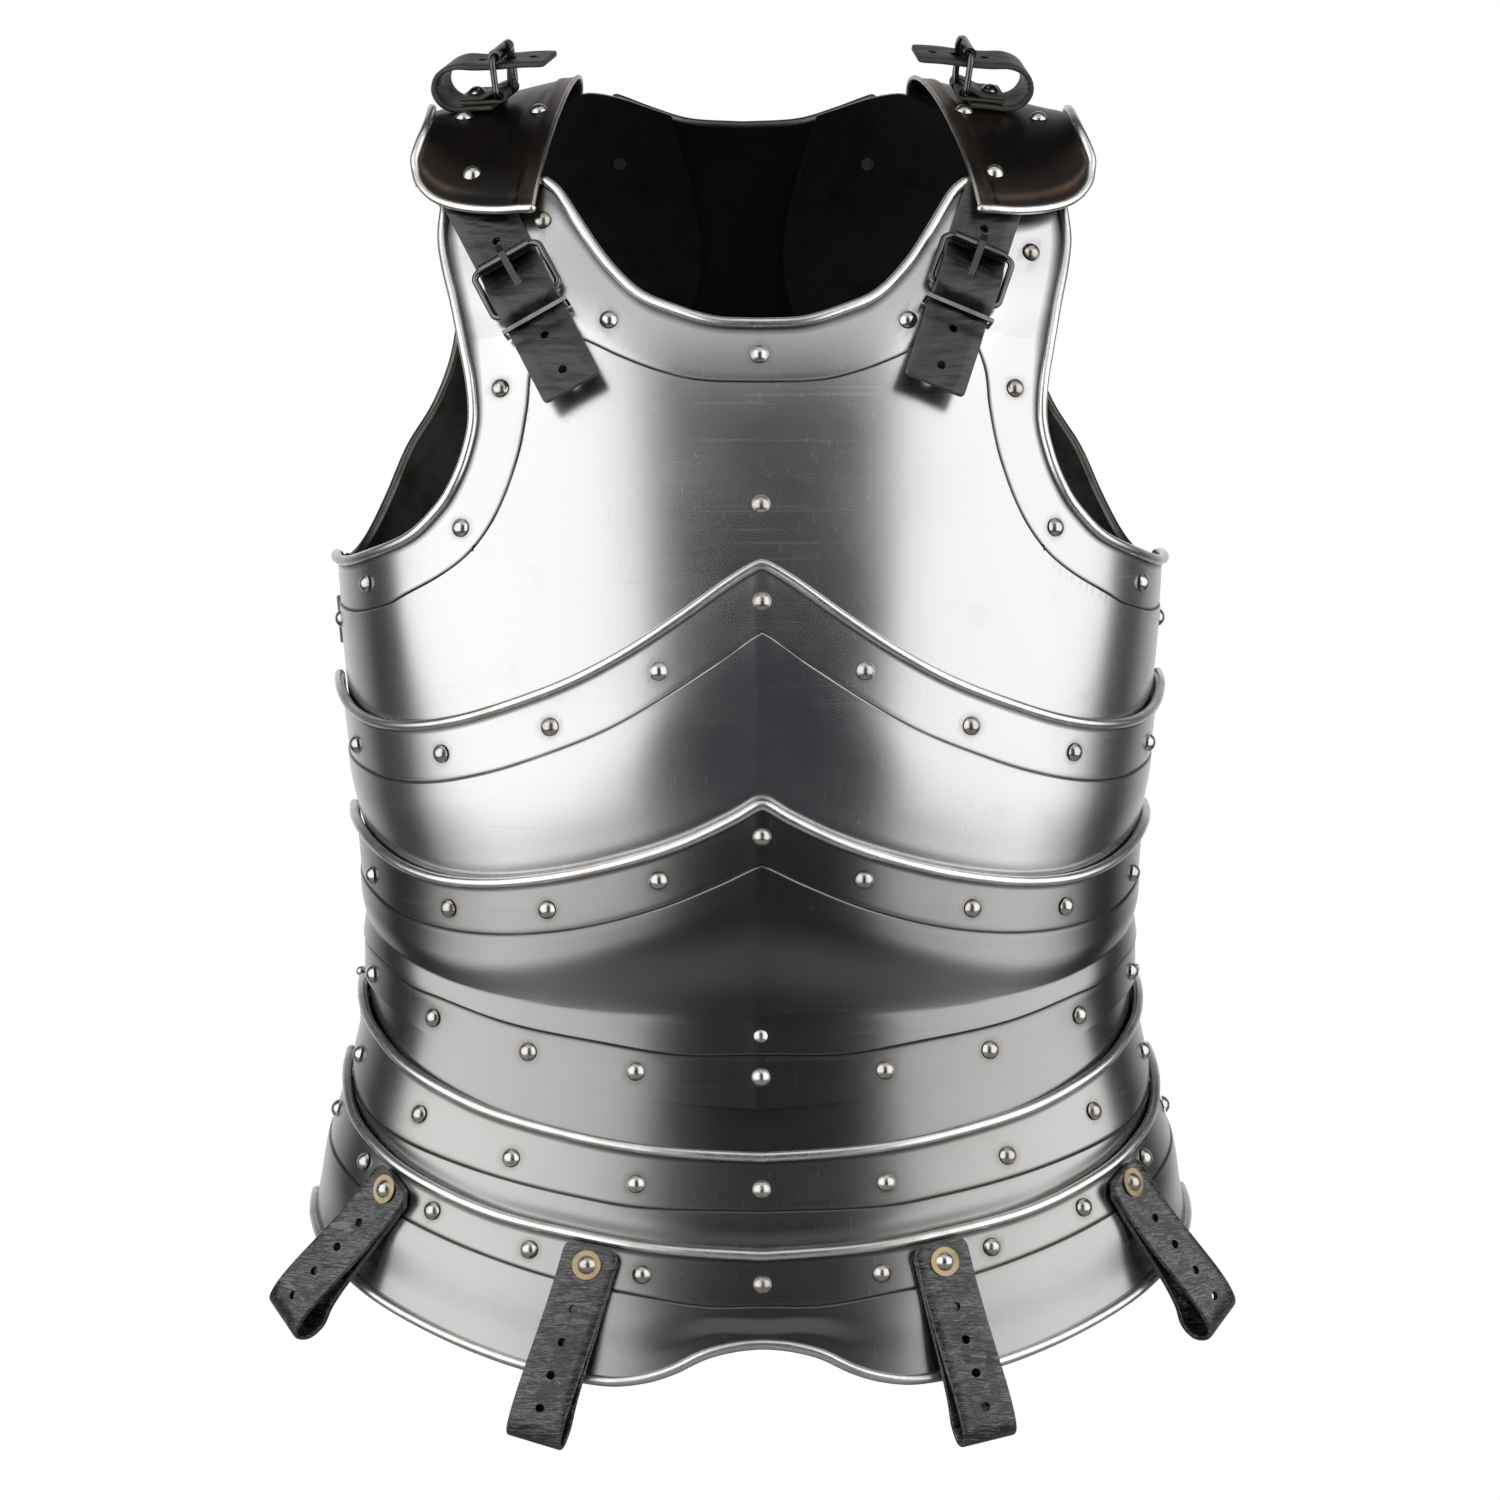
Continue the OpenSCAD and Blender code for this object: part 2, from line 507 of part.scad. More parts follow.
centre_columns = 5;
centre_rows = 13;
centre_off = field + plate_t + seam_gap;
function centre_spot(row, u) = let (
    top = along(back_neck_edge, abs(u) * centre_edge[0][1]),
    z = lerp(centre_foot, top, row / centre_rows))
    [back_line + u * along(centre_edge, z), z];
module backplate_centre() color("dimgray") difference() {
    plate([for (row = [0:centre_rows]) [for (i = [-centre_columns:centre_columns])
        let (p = centre_spot(row, i / centre_columns)) skin(p[0], p[1], centre_off)]],
        even_rims(centre_rows + 1, 2 * centre_columns + 1, plain, plain, roll_r));
    drills(both(seam_rivets, back_line), shank_r + rivet_fit);
}
module backplate_rivets() color("gainsboro") {
    rivets(both(seam_rivets, back_line), centre_off, single_grip + plate_t + seam_gap, true);
    for (side = [0, 1]) flip(side) in_frame(side_frame())
        seated(side_frame(), chape_rivet_s, chape_top + rivet_fit) rivet(chape_top + plate_t + seat_gap, true);
}

// Culet
module upper_culet_lame() color("dimgray") difference() {
    lame(back_line, back_angles, upper_culet_edge, lower_culet_edge, 0, -lame_lap,
        [[1, 0, field], [0.75, 0, field], [0.5, 0, field], [0, -16, culet_band], [0, -8, culet_band],
            [0, 0, culet_band]], plain, roll_r);
    drills(both(upper_culet_rivets, back_line), shank_r + rivet_fit);
    drills(both([last(lower_culet_rivets)], back_line), shank_r + pivot_fit);
}
module upper_culet_rivets() color("gainsboro") {
    rivets(both(but_last(upper_culet_rivets), back_line), culet_band, single_grip);
    rivets(both([last(upper_culet_rivets)], back_line), culet_band, pivot_grip + culet_band - band, true);
}
module lower_culet_lame() color("dimgray") difference() {
    lame(back_line, back_angles, lower_culet_edge, culet_hem_edge, 0, 0,
        concat([[1, 0, hem_field], [0.7, 0, hem_field]], lame_band), roll_r, roll_r);
    drills(both(lower_culet_rivets, back_line), shank_r + rivet_fit);
}
module lower_culet_rivets() color("gainsboro") {
    rivets(both(but_last(lower_culet_rivets), back_line), band, single_grip);
    rivets(both([last(lower_culet_rivets)], back_line), band, pivot_grip, true);
}

// Shoulder caps: a curve over the shoulder from the chest to the back
cap_off = 9.4;
cap_back_off = 6;
cap_edge = [[0, 32, -46], [0.25, 39, -46.5], [0.5, 46, -44.5], [0.72, 52, -40], [0.88, 57, -32], [1, 60, -22]];
cap_back = [[27, 5], [61, -30]];
cap_tops = [12.5, 4];
cap_columns = 8;
cap_rows = 12;
cap_back_rivets = [[0.3, 0.93], [0.72, 0.93]];
cap_top_rivets = [[0.13, 0.4], [0.67, 0.37]];
strap_rivet = [[0.46, 0.12], [0.16, 0.14]];
function cap_point(p, s) = let (
    t0 = along(cap_edge, p, 1), z0 = along(cap_edge, p, 2),
    t3 = 180 - lerp(cap_back[0][0], cap_back[1][0], p), z3 = lerp(cap_back[0][1], cap_back[1][1], p),
    p0 = skin(t0, z0, cap_off), p3 = skin(t3, z3, cap_back_off),
    d0 = unit(skin(t0, z0 + 1, cap_off) - skin(t0, z0 - 1, cap_off)),
    d3 = unit(skin(t3, z3 + 1, cap_back_off) - skin(t3, z3 - 1, cap_back_off)),
    l = (8 * lerp(cap_tops[0], cap_tops[1], p) - 4 * (p0[2] + p3[2])) / (3 * (d0[2] + d3[2])),
    r = 1 - s)
    r * r * r * p0 + 3 * r * r * s * (p0 + l * d0) + 3 * r * s * s * (p3 + l * d3) + s * s * s * p3;
function cap_normal(p, s) = unit(cross(cap_point(min(p + 0.02, 1), s) - cap_point(max(p - 0.02, 0), s),
    cap_point(p, min(s + 0.02, 1)) - cap_point(p, max(s - 0.02, 0))));
module on_cap(p, s) {
    n = cap_normal(p, s);
    translate(cap_point(p, s)) rotate([0, acos(n[2]), atan2(n[1], n[0])]) children();
}
module cap_drill(p) on_cap(p[0], p[1]) cylinder(r = shank_r + rivet_fit, h = 2 * drill_l, center = true);
module shoulder_cap(side) {
    difference() {
        plate([for (j = [0:cap_rows]) [for (i = [0:cap_columns]) cap_point(i / cap_columns, j / cap_rows)]],
            even_rims(cap_rows + 1, cap_columns + 1, roll_r, roll_r, plain));
        for (p = concat(cap_back_rivets, cap_top_rivets, [strap_rivet[side], pauldron_place[side]]))
            cap_drill(p);
    }
}
module left_shoulder_cap() color("dimgray") flip(0) shoulder_cap(0);
module right_shoulder_cap() color("dimgray") shoulder_cap(1);
module shoulder_cap_rivets() color("gainsboro") for (side = [0, 1]) flip(side) {
    for (p = cap_top_rivets) on_cap(p[0], p[1])
        translate([0, 0, plate_t / 2 + seat_gap]) rivet(single_grip + seat_gap, true);
    for (p = cap_back_rivets) on_cap(p[0], p[1])
        translate([0, 0, plate_t / 2 + seat_gap]) rivet(cap_back_off + 2 * plate_t, true);
    on_cap(strap_rivet[side][0], strap_rivet[side][1]) translate([0, 0, plate_t / 2 + rivet_fit])
        rivet(plate_t + strap_t + root_gap[side], true);
    on_cap(pauldron_place[side][0], pauldron_place[side][1])
        translate([0, 0, plate_t / 2 + pauldron_stack + rivet_fit]) rivet(pauldron_stack + plate_t + seat_gap, true);
}

// Frames of the straps: origin on the torso, along the strap, outward, across the strap
function strap_frame(t, z, lean) = let (
    n = outward(t, z), down = unit(torso(t, z - 1) - torso(t, z + 1)), inward = cross(down, n),
    along_strap = unit(cos(lean) * down + sin(lean) * inward))
    [torso(t, z), along_strap, n, cross(along_strap, n)];
function shoulder_frame(side) = strap_frame(strap_angle[side], strap_z[side], strap_lean[side]);
function side_frame() = let (n = outward(side_strap_angle, side_strap_z), back = unit(cross([0, 0, 1], n)))
    [torso(side_strap_angle, side_strap_z), back, n, cross(back, n)];
module in_frame(f) multmatrix([for (k = [0:2]) [f[1][k], f[2][k], f[3][k], f[0][k]]]) children();
module flip(side) {
    if (side == 0) mirror([1, 0, 0]) children();
    else children();
}

// Height of the torso above a frame's plane at a distance along the strap
function within(p) = pow(abs(p[0]) / along(sections, p[2], 1), 2 / side_bow)
    + pow(abs(p[1]) / along(sections, p[2], p[1] < 0 ? 2 : 3), 2 / depth_bow) < 1;
function rise(f, s, low = -90, high = 30, steps = 16) = let (middle = (low + high) / 2)
    steps == 0 ? middle
    : within(f[0] + s * f[1] + middle * f[2]) ? rise(f, s, middle, high, steps - 1)
    : rise(f, s, low, middle, steps - 1);
function outward_in(f, s) = let (d = unit([2, rise(f, s + 1) - rise(f, s - 1)])) [-d[1], d[0]];
// Point in a frame at a height above the outside of a plate that lies on the torso
function lay(f, s, w) = [s, rise(f, s)] + (plate_t + w) * outward_in(f, s);
module seated(f, s, w) {
    n = outward_in(f, s);
    p = lay(f, s, w);
    translate([p[0], p[1], 0]) rotate([0, 90, atan2(n[1], n[0])]) children();
}
module drill_at(f, s) seated(f, s, 0) cylinder(r = shank_r + rivet_fit, h = 2 * drill_l, center = true);

function last(list) = list[len(list) - 1];
function but_last(list) = [for (i = [0:len(list) - 2]) list[i]];
function smooth(points, n = 3) = concat([for (i = [0:len(points) - 2]) for (k = [0:n - 1]) let (
    a = points[max(i - 1, 0)], b = points[i], c = points[i + 1],
    d = points[min(i + 2, len(points) - 1)], s = k / n)
    0.5 * (2 * b + (c - a) * s + (2 * a - 5 * b + 4 * c - d) * s * s + (3 * b - a - 3 * c + d) * s * s * s)],
    [last(points)]);
function beside(path, i, off) = let (
    d = unit(path[min(i + 1, len(path) - 1)] - path[max(i - 1, 0)])) path[i] + off * [-d[1], d[0]];
function ribbon(path, thick) = concat([for (i = [0:len(path) - 1]) beside(path, i, thick / 2)],
    [for (i = [len(path) - 1:-1:0]) beside(path, i, -thick / 2)]);
module strip(path, width, thick)
    linear_extrude(width, center = true) polygon(ribbon(smooth(path), thick));

// Buckle set. The hinge bar lies at bar_s along the strap, the roller buckle_l before it.
bar_s = 8;
roller_s = bar_s - buckle_l;
fold_r = wire_r + wire_fit + chape_t;
bar_w = seat_gap + fold_r;
roller_w = seat_gap + strap_t + seat_gap + roller_r;
chape_top = seat_gap + 2 * chape_t;
chape_end_s = 41;
chape_rivet_s = 34;
keeper_s = 17.4;
keeper_wire = 1.2;
root_gap = [4.6, 6.8];
ring_r = wire_r + wire_fit + 1.3;
prong_slot = prong_w + 1.4;
// Strap's underside above the plate: distance along the strap, height
buckle_rows = [[-20, 0.5], [-15, 0.5], [-12, 1.3], [-8, 3.9], [-4, 6.2], [2, 7.6], [bar_s, 7.9], [12, 7.3], [17, 4.5]];
root_rows = [
    [[-74, -5.6], [-69, -3.3], [-65, -1.3], [-61, 0.2], [-56, 0.8], [-48, 1.2], [-38, 0.8], [-28, 0.5]],
    [[-64, -8.6], [-60, -6], [-57, -3.2], [-54, 0], [-48, 0.8], [-38, 0.7], [-28, 0.5]]];
function shoulder_rows(side) = concat(root_rows[side], buckle_rows, [[24, 5.2], [31, 7.3], [44, 9], [57, 11]]);
shoulder_holes = [-28, 28, 47];
side_root_s = -60;
side_inside = -plate_t - 3 * seat_gap - strap_t;
side_rows = concat([[-70, side_inside], [-60, side_inside], [-49, side_inside], [-46, -4.6], [-41, -2.2],
    [-36, 0.3], [-32, 0.9], [-26, 0.6]], buckle_rows, [[25, 5], [32, 7.3], [46, 8.2]]);

module belt(f, rows, width, holes, holes_w) difference() {
    strip([for (row = rows) lay(f, row[0], row[1] + strap_t / 2)], width, strap_t);
    translate([bar_s - 11.5, 0, 0]) cube([18, 60, prong_slot], center = true);
    for (s = holes) seated(f, s, 0) cylinder(r = hole_r, h = 60, center = true);
}
module chape(f, width) {
    bar = lay(f, bar_s, bar_w);
    n = outward_in(f, bar_s);
    turn = atan2(n[1], n[0]) - 90;
    difference() {
        linear_extrude(width, center = true) difference() {
            polygon(concat(
                [for (s = [chape_end_s, 37.5, 30.5, 24, 17.5, bar_s + 3]) lay(f, s, seat_gap)],
                [for (a = [270:-20:70]) bar + fold_r * [cos(a + turn), sin(a + turn)]],
                [for (s = [bar_s + 9, 23, 30.5, 37.5, chape_end_s]) lay(f, s, chape_top)]));
            translate(bar) circle(r = wire_r + wire_fit);
        }
        translate([bar[0] - 2, bar[1], 0]) cube([2 * ring_r + 5, 4 * fold_r, prong_slot], center = true);
    }
}
// Wire frame with its hinge bar on Z at the origin and its roller bar on Z at [0, length]
module wire_frame(length, half_w) {
    bend = 3.5;
    for (y = [0, length]) translate([0, y, 0]) cylinder(r = wire_r, h = 2 * (half_w - bend), center = true);
    for (z = [-1, 1]) scale([1, 1, z]) {
        translate([0, bend, half_w]) rotate([-90, 0, 0]) cylinder(r = wire_r, h = length - 2 * bend);
        translate([0, bend, half_w - bend]) rotate([0, 90, 0]) rotate([0, 0, 180])
            rotate_extrude(angle = 90) translate([bend, 0]) circle(r = wire_r);
        translate([0, length - bend, half_w - bend]) rotate([0, 90, 0]) rotate([0, 0, 90])
            rotate_extrude(angle = 90) translate([bend, 0]) circle(r = wire_r);
    }
}
module roller(half_w) difference() {
    cylinder(r = roller_r, h = 2 * half_w - 8, center = true);
    cylinder(r = wire_r + wire_fit, h = 2 * half_w, center = true);
}
// Prong on the bar at the origin, resting on a bar of radius rest_r at [0, length], at +X
module prong(length, rest_r, thick) difference() {
    union() {
        cylinder(r = ring_r, h = prong_w, center = true);
        linear_extrude(prong_w, center = true) polygon([[ring_r - thick, 0], [rest_r + 0.25, length],
            [rest_r - 0.3, length + 4.5], [rest_r + 1, length + 5], [rest_r + 0.25 + thick, length + 1], [ring_r, 0]]);
    }
    cylinder(r = wire_r + wire_fit, h = prong_w + 1, center = true);
}
// Children with +Y from the hinge bar to the roller and +X outward
module on_bar(f, rest_w) {
    bar = lay(f, bar_s, bar_w);
    to = lay(f, roller_s, rest_w) - bar;
    translate([bar[0], bar[1], 0]) rotate([0, 0, atan2(to[1], to[0]) - 90]) children();
}
function buckle_half(width) = width / 2 + wire_r + 0.8;
function frame_length(f, rest_w) = norm(lay(f, roller_s, rest_w) - lay(f, bar_s, bar_w));
side_rest_w = seat_gap + strap_t + seat_gap + wire_r;

// The strap narrows to its root, between the cap and the corner of the breastplate
root_taper_s = [-54, -66];
root_taper = 7;
module taper_cut() for (z = [-1, 1]) scale([1, 1, z]) rotate([90, 0, 0]) linear_extrude(80, center = true)
    polygon([[root_taper_s[0], strap_w / 2], [root_taper_s[1], strap_w / 2 - root_taper],
        [-90, strap_w / 2 - root_taper], [-90, strap_w], [root_taper_s[0], strap_w]]);
module shoulder_strap(side) color("darkolivegreen") flip(side) difference() {
    in_frame(shoulder_frame(side)) difference() {
        belt(shoulder_frame(side), shoulder_rows(side), strap_w, shoulder_holes);
        taper_cut();
    }
    cap_drill(strap_rivet[side]);
}
module shoulder_chape(side) color("black") flip(side) in_frame(shoulder_frame(side)) {
    f = shoulder_frame(side);
    difference() {
        chape(f, chape_w);
        seated(f, keeper_s, seat_gap + chape_t) cube([chape_w + 2, 2.6, 1.8], center = true);
        drill_at(f, chape_rivet_s);
    }
}
module shoulder_buckle(side) color("slategray") flip(side) in_frame(shoulder_frame(side)) {
    f = shoulder_frame(side);
    on_bar(f, roller_w) wire_frame(frame_length(f, roller_w), buckle_half(strap_w));
}
module shoulder_roller(side) color("slategray") flip(side) in_frame(shoulder_frame(side)) {
    f = shoulder_frame(side);
    on_bar(f, roller_w) translate([0, frame_length(f, roller_w), 0]) roller(buckle_half(strap_w));
}
module shoulder_prong(side) color("slategray") flip(side) in_frame(shoulder_frame(side)) {
    f = shoulder_frame(side);
    on_bar(f, roller_w) prong(frame_length(f, roller_w), roller_r, 2.2);
}
module shoulder_keeper(side) color("slategray") flip(side) in_frame(shoulder_frame(side))
    seated(shoulder_frame(side), keeper_s, 0) difference() {
        low = seat_gap + chape_t;
        high = 4.5 + strap_t + seat_gap + keeper_wire;
        translate([0, 0, (low + high) / 2]) cube([strap_w + 4, 2, high - low + keeper_wire], center = true);
        translate([0, 0, (low + high) / 2]) cube([strap_w + 1.6, 3, high - low - keeper_wire], center = true);
    }

module side_strap(side) color("darkolivegreen") flip(side) in_frame(side_frame()) difference() {
    belt(side_frame(), side_rows, side_w, [36]);
    drill_at(side_frame(), side_root_s);
}
module side_chape(side) color("black") flip(side) in_frame(side_frame()) difference() {
    chape(side_frame(), side_w - 4);
    drill_at(side_frame(), chape_rivet_s);
}
module side_buckle(side) color("slategray") flip(side) in_frame(side_frame())
    on_bar(side_frame(), side_rest_w) wire_frame(frame_length(side_frame(), side_rest_w), buckle_half(side_w));
module side_prong(side) color("slategray") flip(side) in_frame(side_frame())
    on_bar(side_frame(), side_rest_w) prong(frame_length(side_frame(), side_rest_w), wire_r, 2.2);

// Pauldron straps on the tops of the caps
pauldron_place = [[0.58, 0.46], [0.33, 0.46]];
pauldron_stack = 0.4 + strap_t + 0.3 + 2 * chape_t;
pauldron_bar = 0.4 + strap_t + 0.3 + fold_r;
pauldron_rivet = -14;
function pauldron_frame(side) = let (
    p = pauldron_place[side], n = cap_normal(p[0], p[1]), turn = pauldron_turn[side],
    inward = [-cos(turn), -sin(turn), 0], s = unit(inward - (inward * n) * n))
    [cap_point(p[0], p[1]) + plate_t / 2 * n - pauldron_rivet * s, s, n, cross(s, n)];
module pauldron_chape(side) color("black") flip(side) in_frame(pauldron_frame(side)) {
    low = pauldron_bar - fold_r;
    difference() {
        linear_extrude(pauldron_w - 4, center = true) difference() {
            polygon(concat([[-19.5, low + 2 * chape_t], [-19.5, low], [0, low]],
                [for (a = [-70:20:90]) [fold_r * cos(a), pauldron_bar + fold_r * sin(a)]],
                [[-4, pauldron_bar + fold_r - 0.6], [-9, low + 2 * chape_t]]));
            translate([0, pauldron_bar]) circle(r = wire_r + wire_fit);
        }
        translate([1, pauldron_bar, 0]) cube([2 * ring_r + 3, 4 * fold_r, prong_slot], center = true);
        translate([pauldron_rivet, 0, 0]) rotate([90, 0, 0]) cylinder(r = shank_r + rivet_fit, h = 40, center = true);
    }
}
module pauldron_billet(side) color("darkolivegreen") flip(side) in_frame(pauldron_frame(side)) difference() {
    low = 0.4 + strap_t / 2;
    strip([[-4, low], [-12, low], [-22, low], [-28, 4.8], [-30.5, 11], [-27.5, 17.8], [-20, 21], [-10, 20.3],
        [0, pauldron_bar + 13.6], [12, pauldron_bar + 13.9], [23, pauldron_bar + 13.5]], pauldron_w, strap_t);
    translate([pauldron_rivet, 5, 0]) rotate([90, 0, 0]) cylinder(r = shank_r + rivet_fit, h = 10);
    translate([3.9, 30, 0]) rotate([90, 0, 0]) cylinder(r = 2.5, h = 20);
    for (s = [-9, 15]) translate([s, 30, 0]) rotate([90, 0, 0]) cylinder(r = hole_r, h = 20);
}
module at_pauldron_bar(side) in_frame(pauldron_frame(side)) translate([0, pauldron_bar, 0]) children();
module pauldron_buckle(side) color("slategray") flip(side) at_pauldron_bar(side)
    wire_frame(pauldron_buckle_l, buckle_half(pauldron_w));
module pauldron_roller(side) color("slategray") flip(side) at_pauldron_bar(side)
    translate([0, pauldron_buckle_l, 0]) roller(buckle_half(pauldron_w));
module pauldron_prong(side) color("slategray") flip(side) at_pauldron_bar(side)
    prong(pauldron_buckle_l, roller_r, 2);

// Strap loops on the lower fauld lame: angle from the front, height, turn about the rivet,
// length above the rivet
loops = [[-53.5, -478, -36, 6.2], [-20, -504, -14, 9], [21, -503.5, 10, 9], [54.5, -477, 30.6, 6.2]];
loop_seat = band + plate_t / 2;
loop_stack = 0.3 + 2 * strap_t + 0.4;
module on_loop(p) on_torso(p[0], p[1], loop_seat) rotate([0, 0, p[2]]) children();
// Profile of a loop: distance down from the rivet, height above the plate
module strap_loop(p) color("black") on_loop(p) difference() {
    back = 0.3 + strap_t / 2;
    front = back + strap_t + 0.4;
    rotate([90, 0, 0]) strip([[-p[3], back], [5, back], [20, back + 0.3], [34, back + 0.9], [48, back + 1.4],
        [loop_l - 20, back + 0.5], [loop_l - 10, -0.6], [loop_l - 3, 1.5], [loop_l - 1.2, 6.5], [loop_l - 3.5, 11.3],
        [loop_l - 11, 13], [loop_l - 22, 12.2], [44, 9.6], [28, front + 2.2], [14, front + 0.5], [5, front], [-p[3], front]],
        loop_w, strap_t);
    cylinder(r = shank_r + 0.4, h = 30, center = true);
    for (k = [0:3]) translate([20 + k * loop_pitch, 0, 4.6 + k * 0.4]) cylinder(r = hole_r, h = 20);
    for (side = [-1, 1]) translate([-p[3], side * loop_w / 2, 0]) rotate([0, 0, 45]) cube([7, 7, 40], center = true);
}
module loop_rivets() color("gainsboro") for (p = loops) on_loop(p)
    translate([0, 0, loop_stack + washer_t + 2 * rivet_fit]) rivet(loop_stack + washer_t + plate_t + 3 * rivet_fit + 0.2, true);
module loop_washers() color("goldenrod") for (p = loops) on_loop(p) translate([0, 0, loop_stack + rivet_fit])
    difference() {
        cylinder(r = washer_r, h = washer_t);
        translate([0, 0, -1]) cylinder(r = shank_r + rivet_fit, h = washer_t + 2);
    }

breastplate();
breastplate_rivets();
upper_plackart();
upper_plackart_rivets();
lower_plackart();
lower_plackart_rivets();
waist_lame();
waist_lame_rivets();
upper_fauld_lame();
upper_fauld_rivets();
lower_fauld_lame();
lower_fauld_rivets();
backplate_centre();
left_blade_plate();
right_blade_plate();
backplate_rivets();
upper_culet_lame();
upper_culet_rivets();
lower_culet_lame();
lower_culet_rivets();
left_shoulder_cap();
right_shoulder_cap();
shoulder_cap_rivets();
for (side = [0, 1]) let (name = side == 0 ? "left_" : "right_") {
    shoulder_strap(side);
    shoulder_chape(side);
    shoulder_buckle(side);
    shoulder_roller(side);
    shoulder_prong(side);
    shoulder_keeper(side);
    pauldron_chape(side);
    pauldron_billet(side);
    pauldron_buckle(side);
    pauldron_roller(side);
    pauldron_prong(side);
    side_strap(side);
    side_chape(side);
    side_buckle(side);
    side_prong(side);
}
strap_loop(loops[0]);  // left_outer_loop
strap_loop(loops[1]);  // left_inner_loop
strap_loop(loops[2]);  // right_inner_loop
strap_loop(loops[3]);  // right_outer_loop
loop_rivets();
loop_washers();
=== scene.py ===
# Chest armour of steel plates with leather straps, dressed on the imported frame.
# Sizes are in millimetres until a mesh is made, and +X is the viewer's right.
import json
import math

import bmesh
import bpy
import numpy as np
from mathutils import Matrix, Vector


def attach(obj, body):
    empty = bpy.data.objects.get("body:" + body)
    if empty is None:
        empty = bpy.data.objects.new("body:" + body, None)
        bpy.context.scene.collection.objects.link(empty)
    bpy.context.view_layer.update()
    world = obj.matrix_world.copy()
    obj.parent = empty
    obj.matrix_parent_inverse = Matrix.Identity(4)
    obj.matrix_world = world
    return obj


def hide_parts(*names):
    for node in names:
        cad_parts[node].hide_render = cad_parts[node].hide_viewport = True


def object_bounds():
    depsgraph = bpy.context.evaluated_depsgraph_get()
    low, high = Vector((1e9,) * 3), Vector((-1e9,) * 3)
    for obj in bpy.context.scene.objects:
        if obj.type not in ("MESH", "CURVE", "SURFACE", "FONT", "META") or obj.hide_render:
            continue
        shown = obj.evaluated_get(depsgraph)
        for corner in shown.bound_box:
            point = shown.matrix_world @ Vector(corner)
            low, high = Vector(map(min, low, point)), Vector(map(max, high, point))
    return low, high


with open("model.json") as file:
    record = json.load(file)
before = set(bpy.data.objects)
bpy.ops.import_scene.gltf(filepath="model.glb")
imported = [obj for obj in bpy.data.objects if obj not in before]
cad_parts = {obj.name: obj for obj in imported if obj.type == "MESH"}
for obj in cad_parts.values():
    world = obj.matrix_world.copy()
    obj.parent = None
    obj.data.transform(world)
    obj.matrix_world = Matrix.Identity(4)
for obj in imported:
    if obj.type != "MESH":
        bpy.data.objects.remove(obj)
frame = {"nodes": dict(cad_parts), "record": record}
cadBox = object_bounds()
bodyOf = {node: body for body, nodes in frame["record"]["behaviour"]["bodies"].items() for node in nodes}
slotOf = {row["node"]: row["material_slot"] for row in frame["record"]["subparts"]}
metre = 0.001

# The torso that every plate lies on: height, half width, front depth, back depth
torsoForm = {
    "rings": [(30, 150, 55, 70), (-40, 172, 84, 100), (-90, 184, 110, 112), (-140, 188, 128, 118),
              (-200, 187.5, 143, 118), (-245, 184, 147, 114), (-300, 178, 145, 105),
              (-345, 174, 140, 97), (-385, 173, 134, 92), (-410, 175, 132.5, 93), (-441, 183, 135, 98),
              (-478, 194, 143, 107), (-520, 201, 153, 117), (-580, 206, 163, 126)],
    "sideBow": 0.92,
    "depthBow": 0.86,
}
plateForm = {
    "thickness": 1.5,
    "roll": 2.3,
    "field": 0.75,
    "band": 3.95,
    "hemField": 1.75,
    "culetBand": 6.45,
    "centre": 3.35,
    "borderDepth": 0.6,
    "rivetAt": 2.0,
    "rustFrom": 3.8, "rustTo": 7.0,
    "rimStep": 1.6,
}


def unit(v):
    return v / np.linalg.norm(v, axis=-1, keepdims=True)


def along(rows, x, k=1):  # smooth curve through rows whose first entries rise or fall
    rows = np.asarray(rows, float)
    keys, values = rows[:, 0], rows[:, k]
    if keys[1] < keys[0]:
        keys, values = keys[::-1], values[::-1]
    low = np.maximum(np.arange(len(keys)) - 1, 0)
    high = np.minimum(np.arange(len(keys)) + 1, len(keys) - 1)
    slopes = (values[high] - values[low]) / (keys[high] - keys[low])
    x = np.asarray(x, float)
    i = np.clip(np.searchsorted(keys, x, side="right") - 1, 0, len(keys) - 2)
    h = keys[i + 1] - keys[i]
    s = np.clip((x - keys[i]) / h, 0, 1)
    return ((2 * s**3 - 3 * s**2 + 1) * values[i] + (s**3 - 2 * s**2 + s) * h * slopes[i]
            + (3 * s**2 - 2 * s**3) * values[i + 1] + (s**3 - s**2) * h * slopes[i + 1])


def bowed(a, power):
    return np.sign(a) * np.abs(a) ** power


def torso(t, z):  # the point at angle t, 0 in front, and height z
    t, z = np.broadcast_arrays(np.asarray(t, float), np.asarray(z, float))
    c, s = np.cos(np.radians(t)), np.sin(np.radians(t))
    rings = torsoForm["rings"]
    depth = np.where(c >= 0, along(rings, z, 2), along(rings, z, 3))
    return np.stack([along(rings, z, 1) * bowed(s, torsoForm["sideBow"]),
                     -depth * bowed(c, torsoForm["depthBow"]), z], axis=-1)


def outward(t, z):
    t, z = np.asarray(t, float), np.asarray(z, float)
    return unit(np.cross(torso(t + 0.5, z) - torso(t - 0.5, z), torso(t, z + 0.5) - torso(t, z - 0.5)))


def skin(t, z, off):  # a point that stands off the torso
    return torso(t, z) + np.asarray(off, float)[..., None] * outward(t, z)


def spotsOf(grid):  # the angles and the heights of a grid of spots on the torso
    return grid[..., 0], grid[..., 1]


def runOf(points):  # distance along a path
    return np.concatenate([[0], np.cumsum(np.linalg.norm(np.diff(points, axis=0), axis=1))])


def resample(points, run, marks):
    return np.stack([np.interp(marks, run, column) for column in np.transpose(points)], -1)


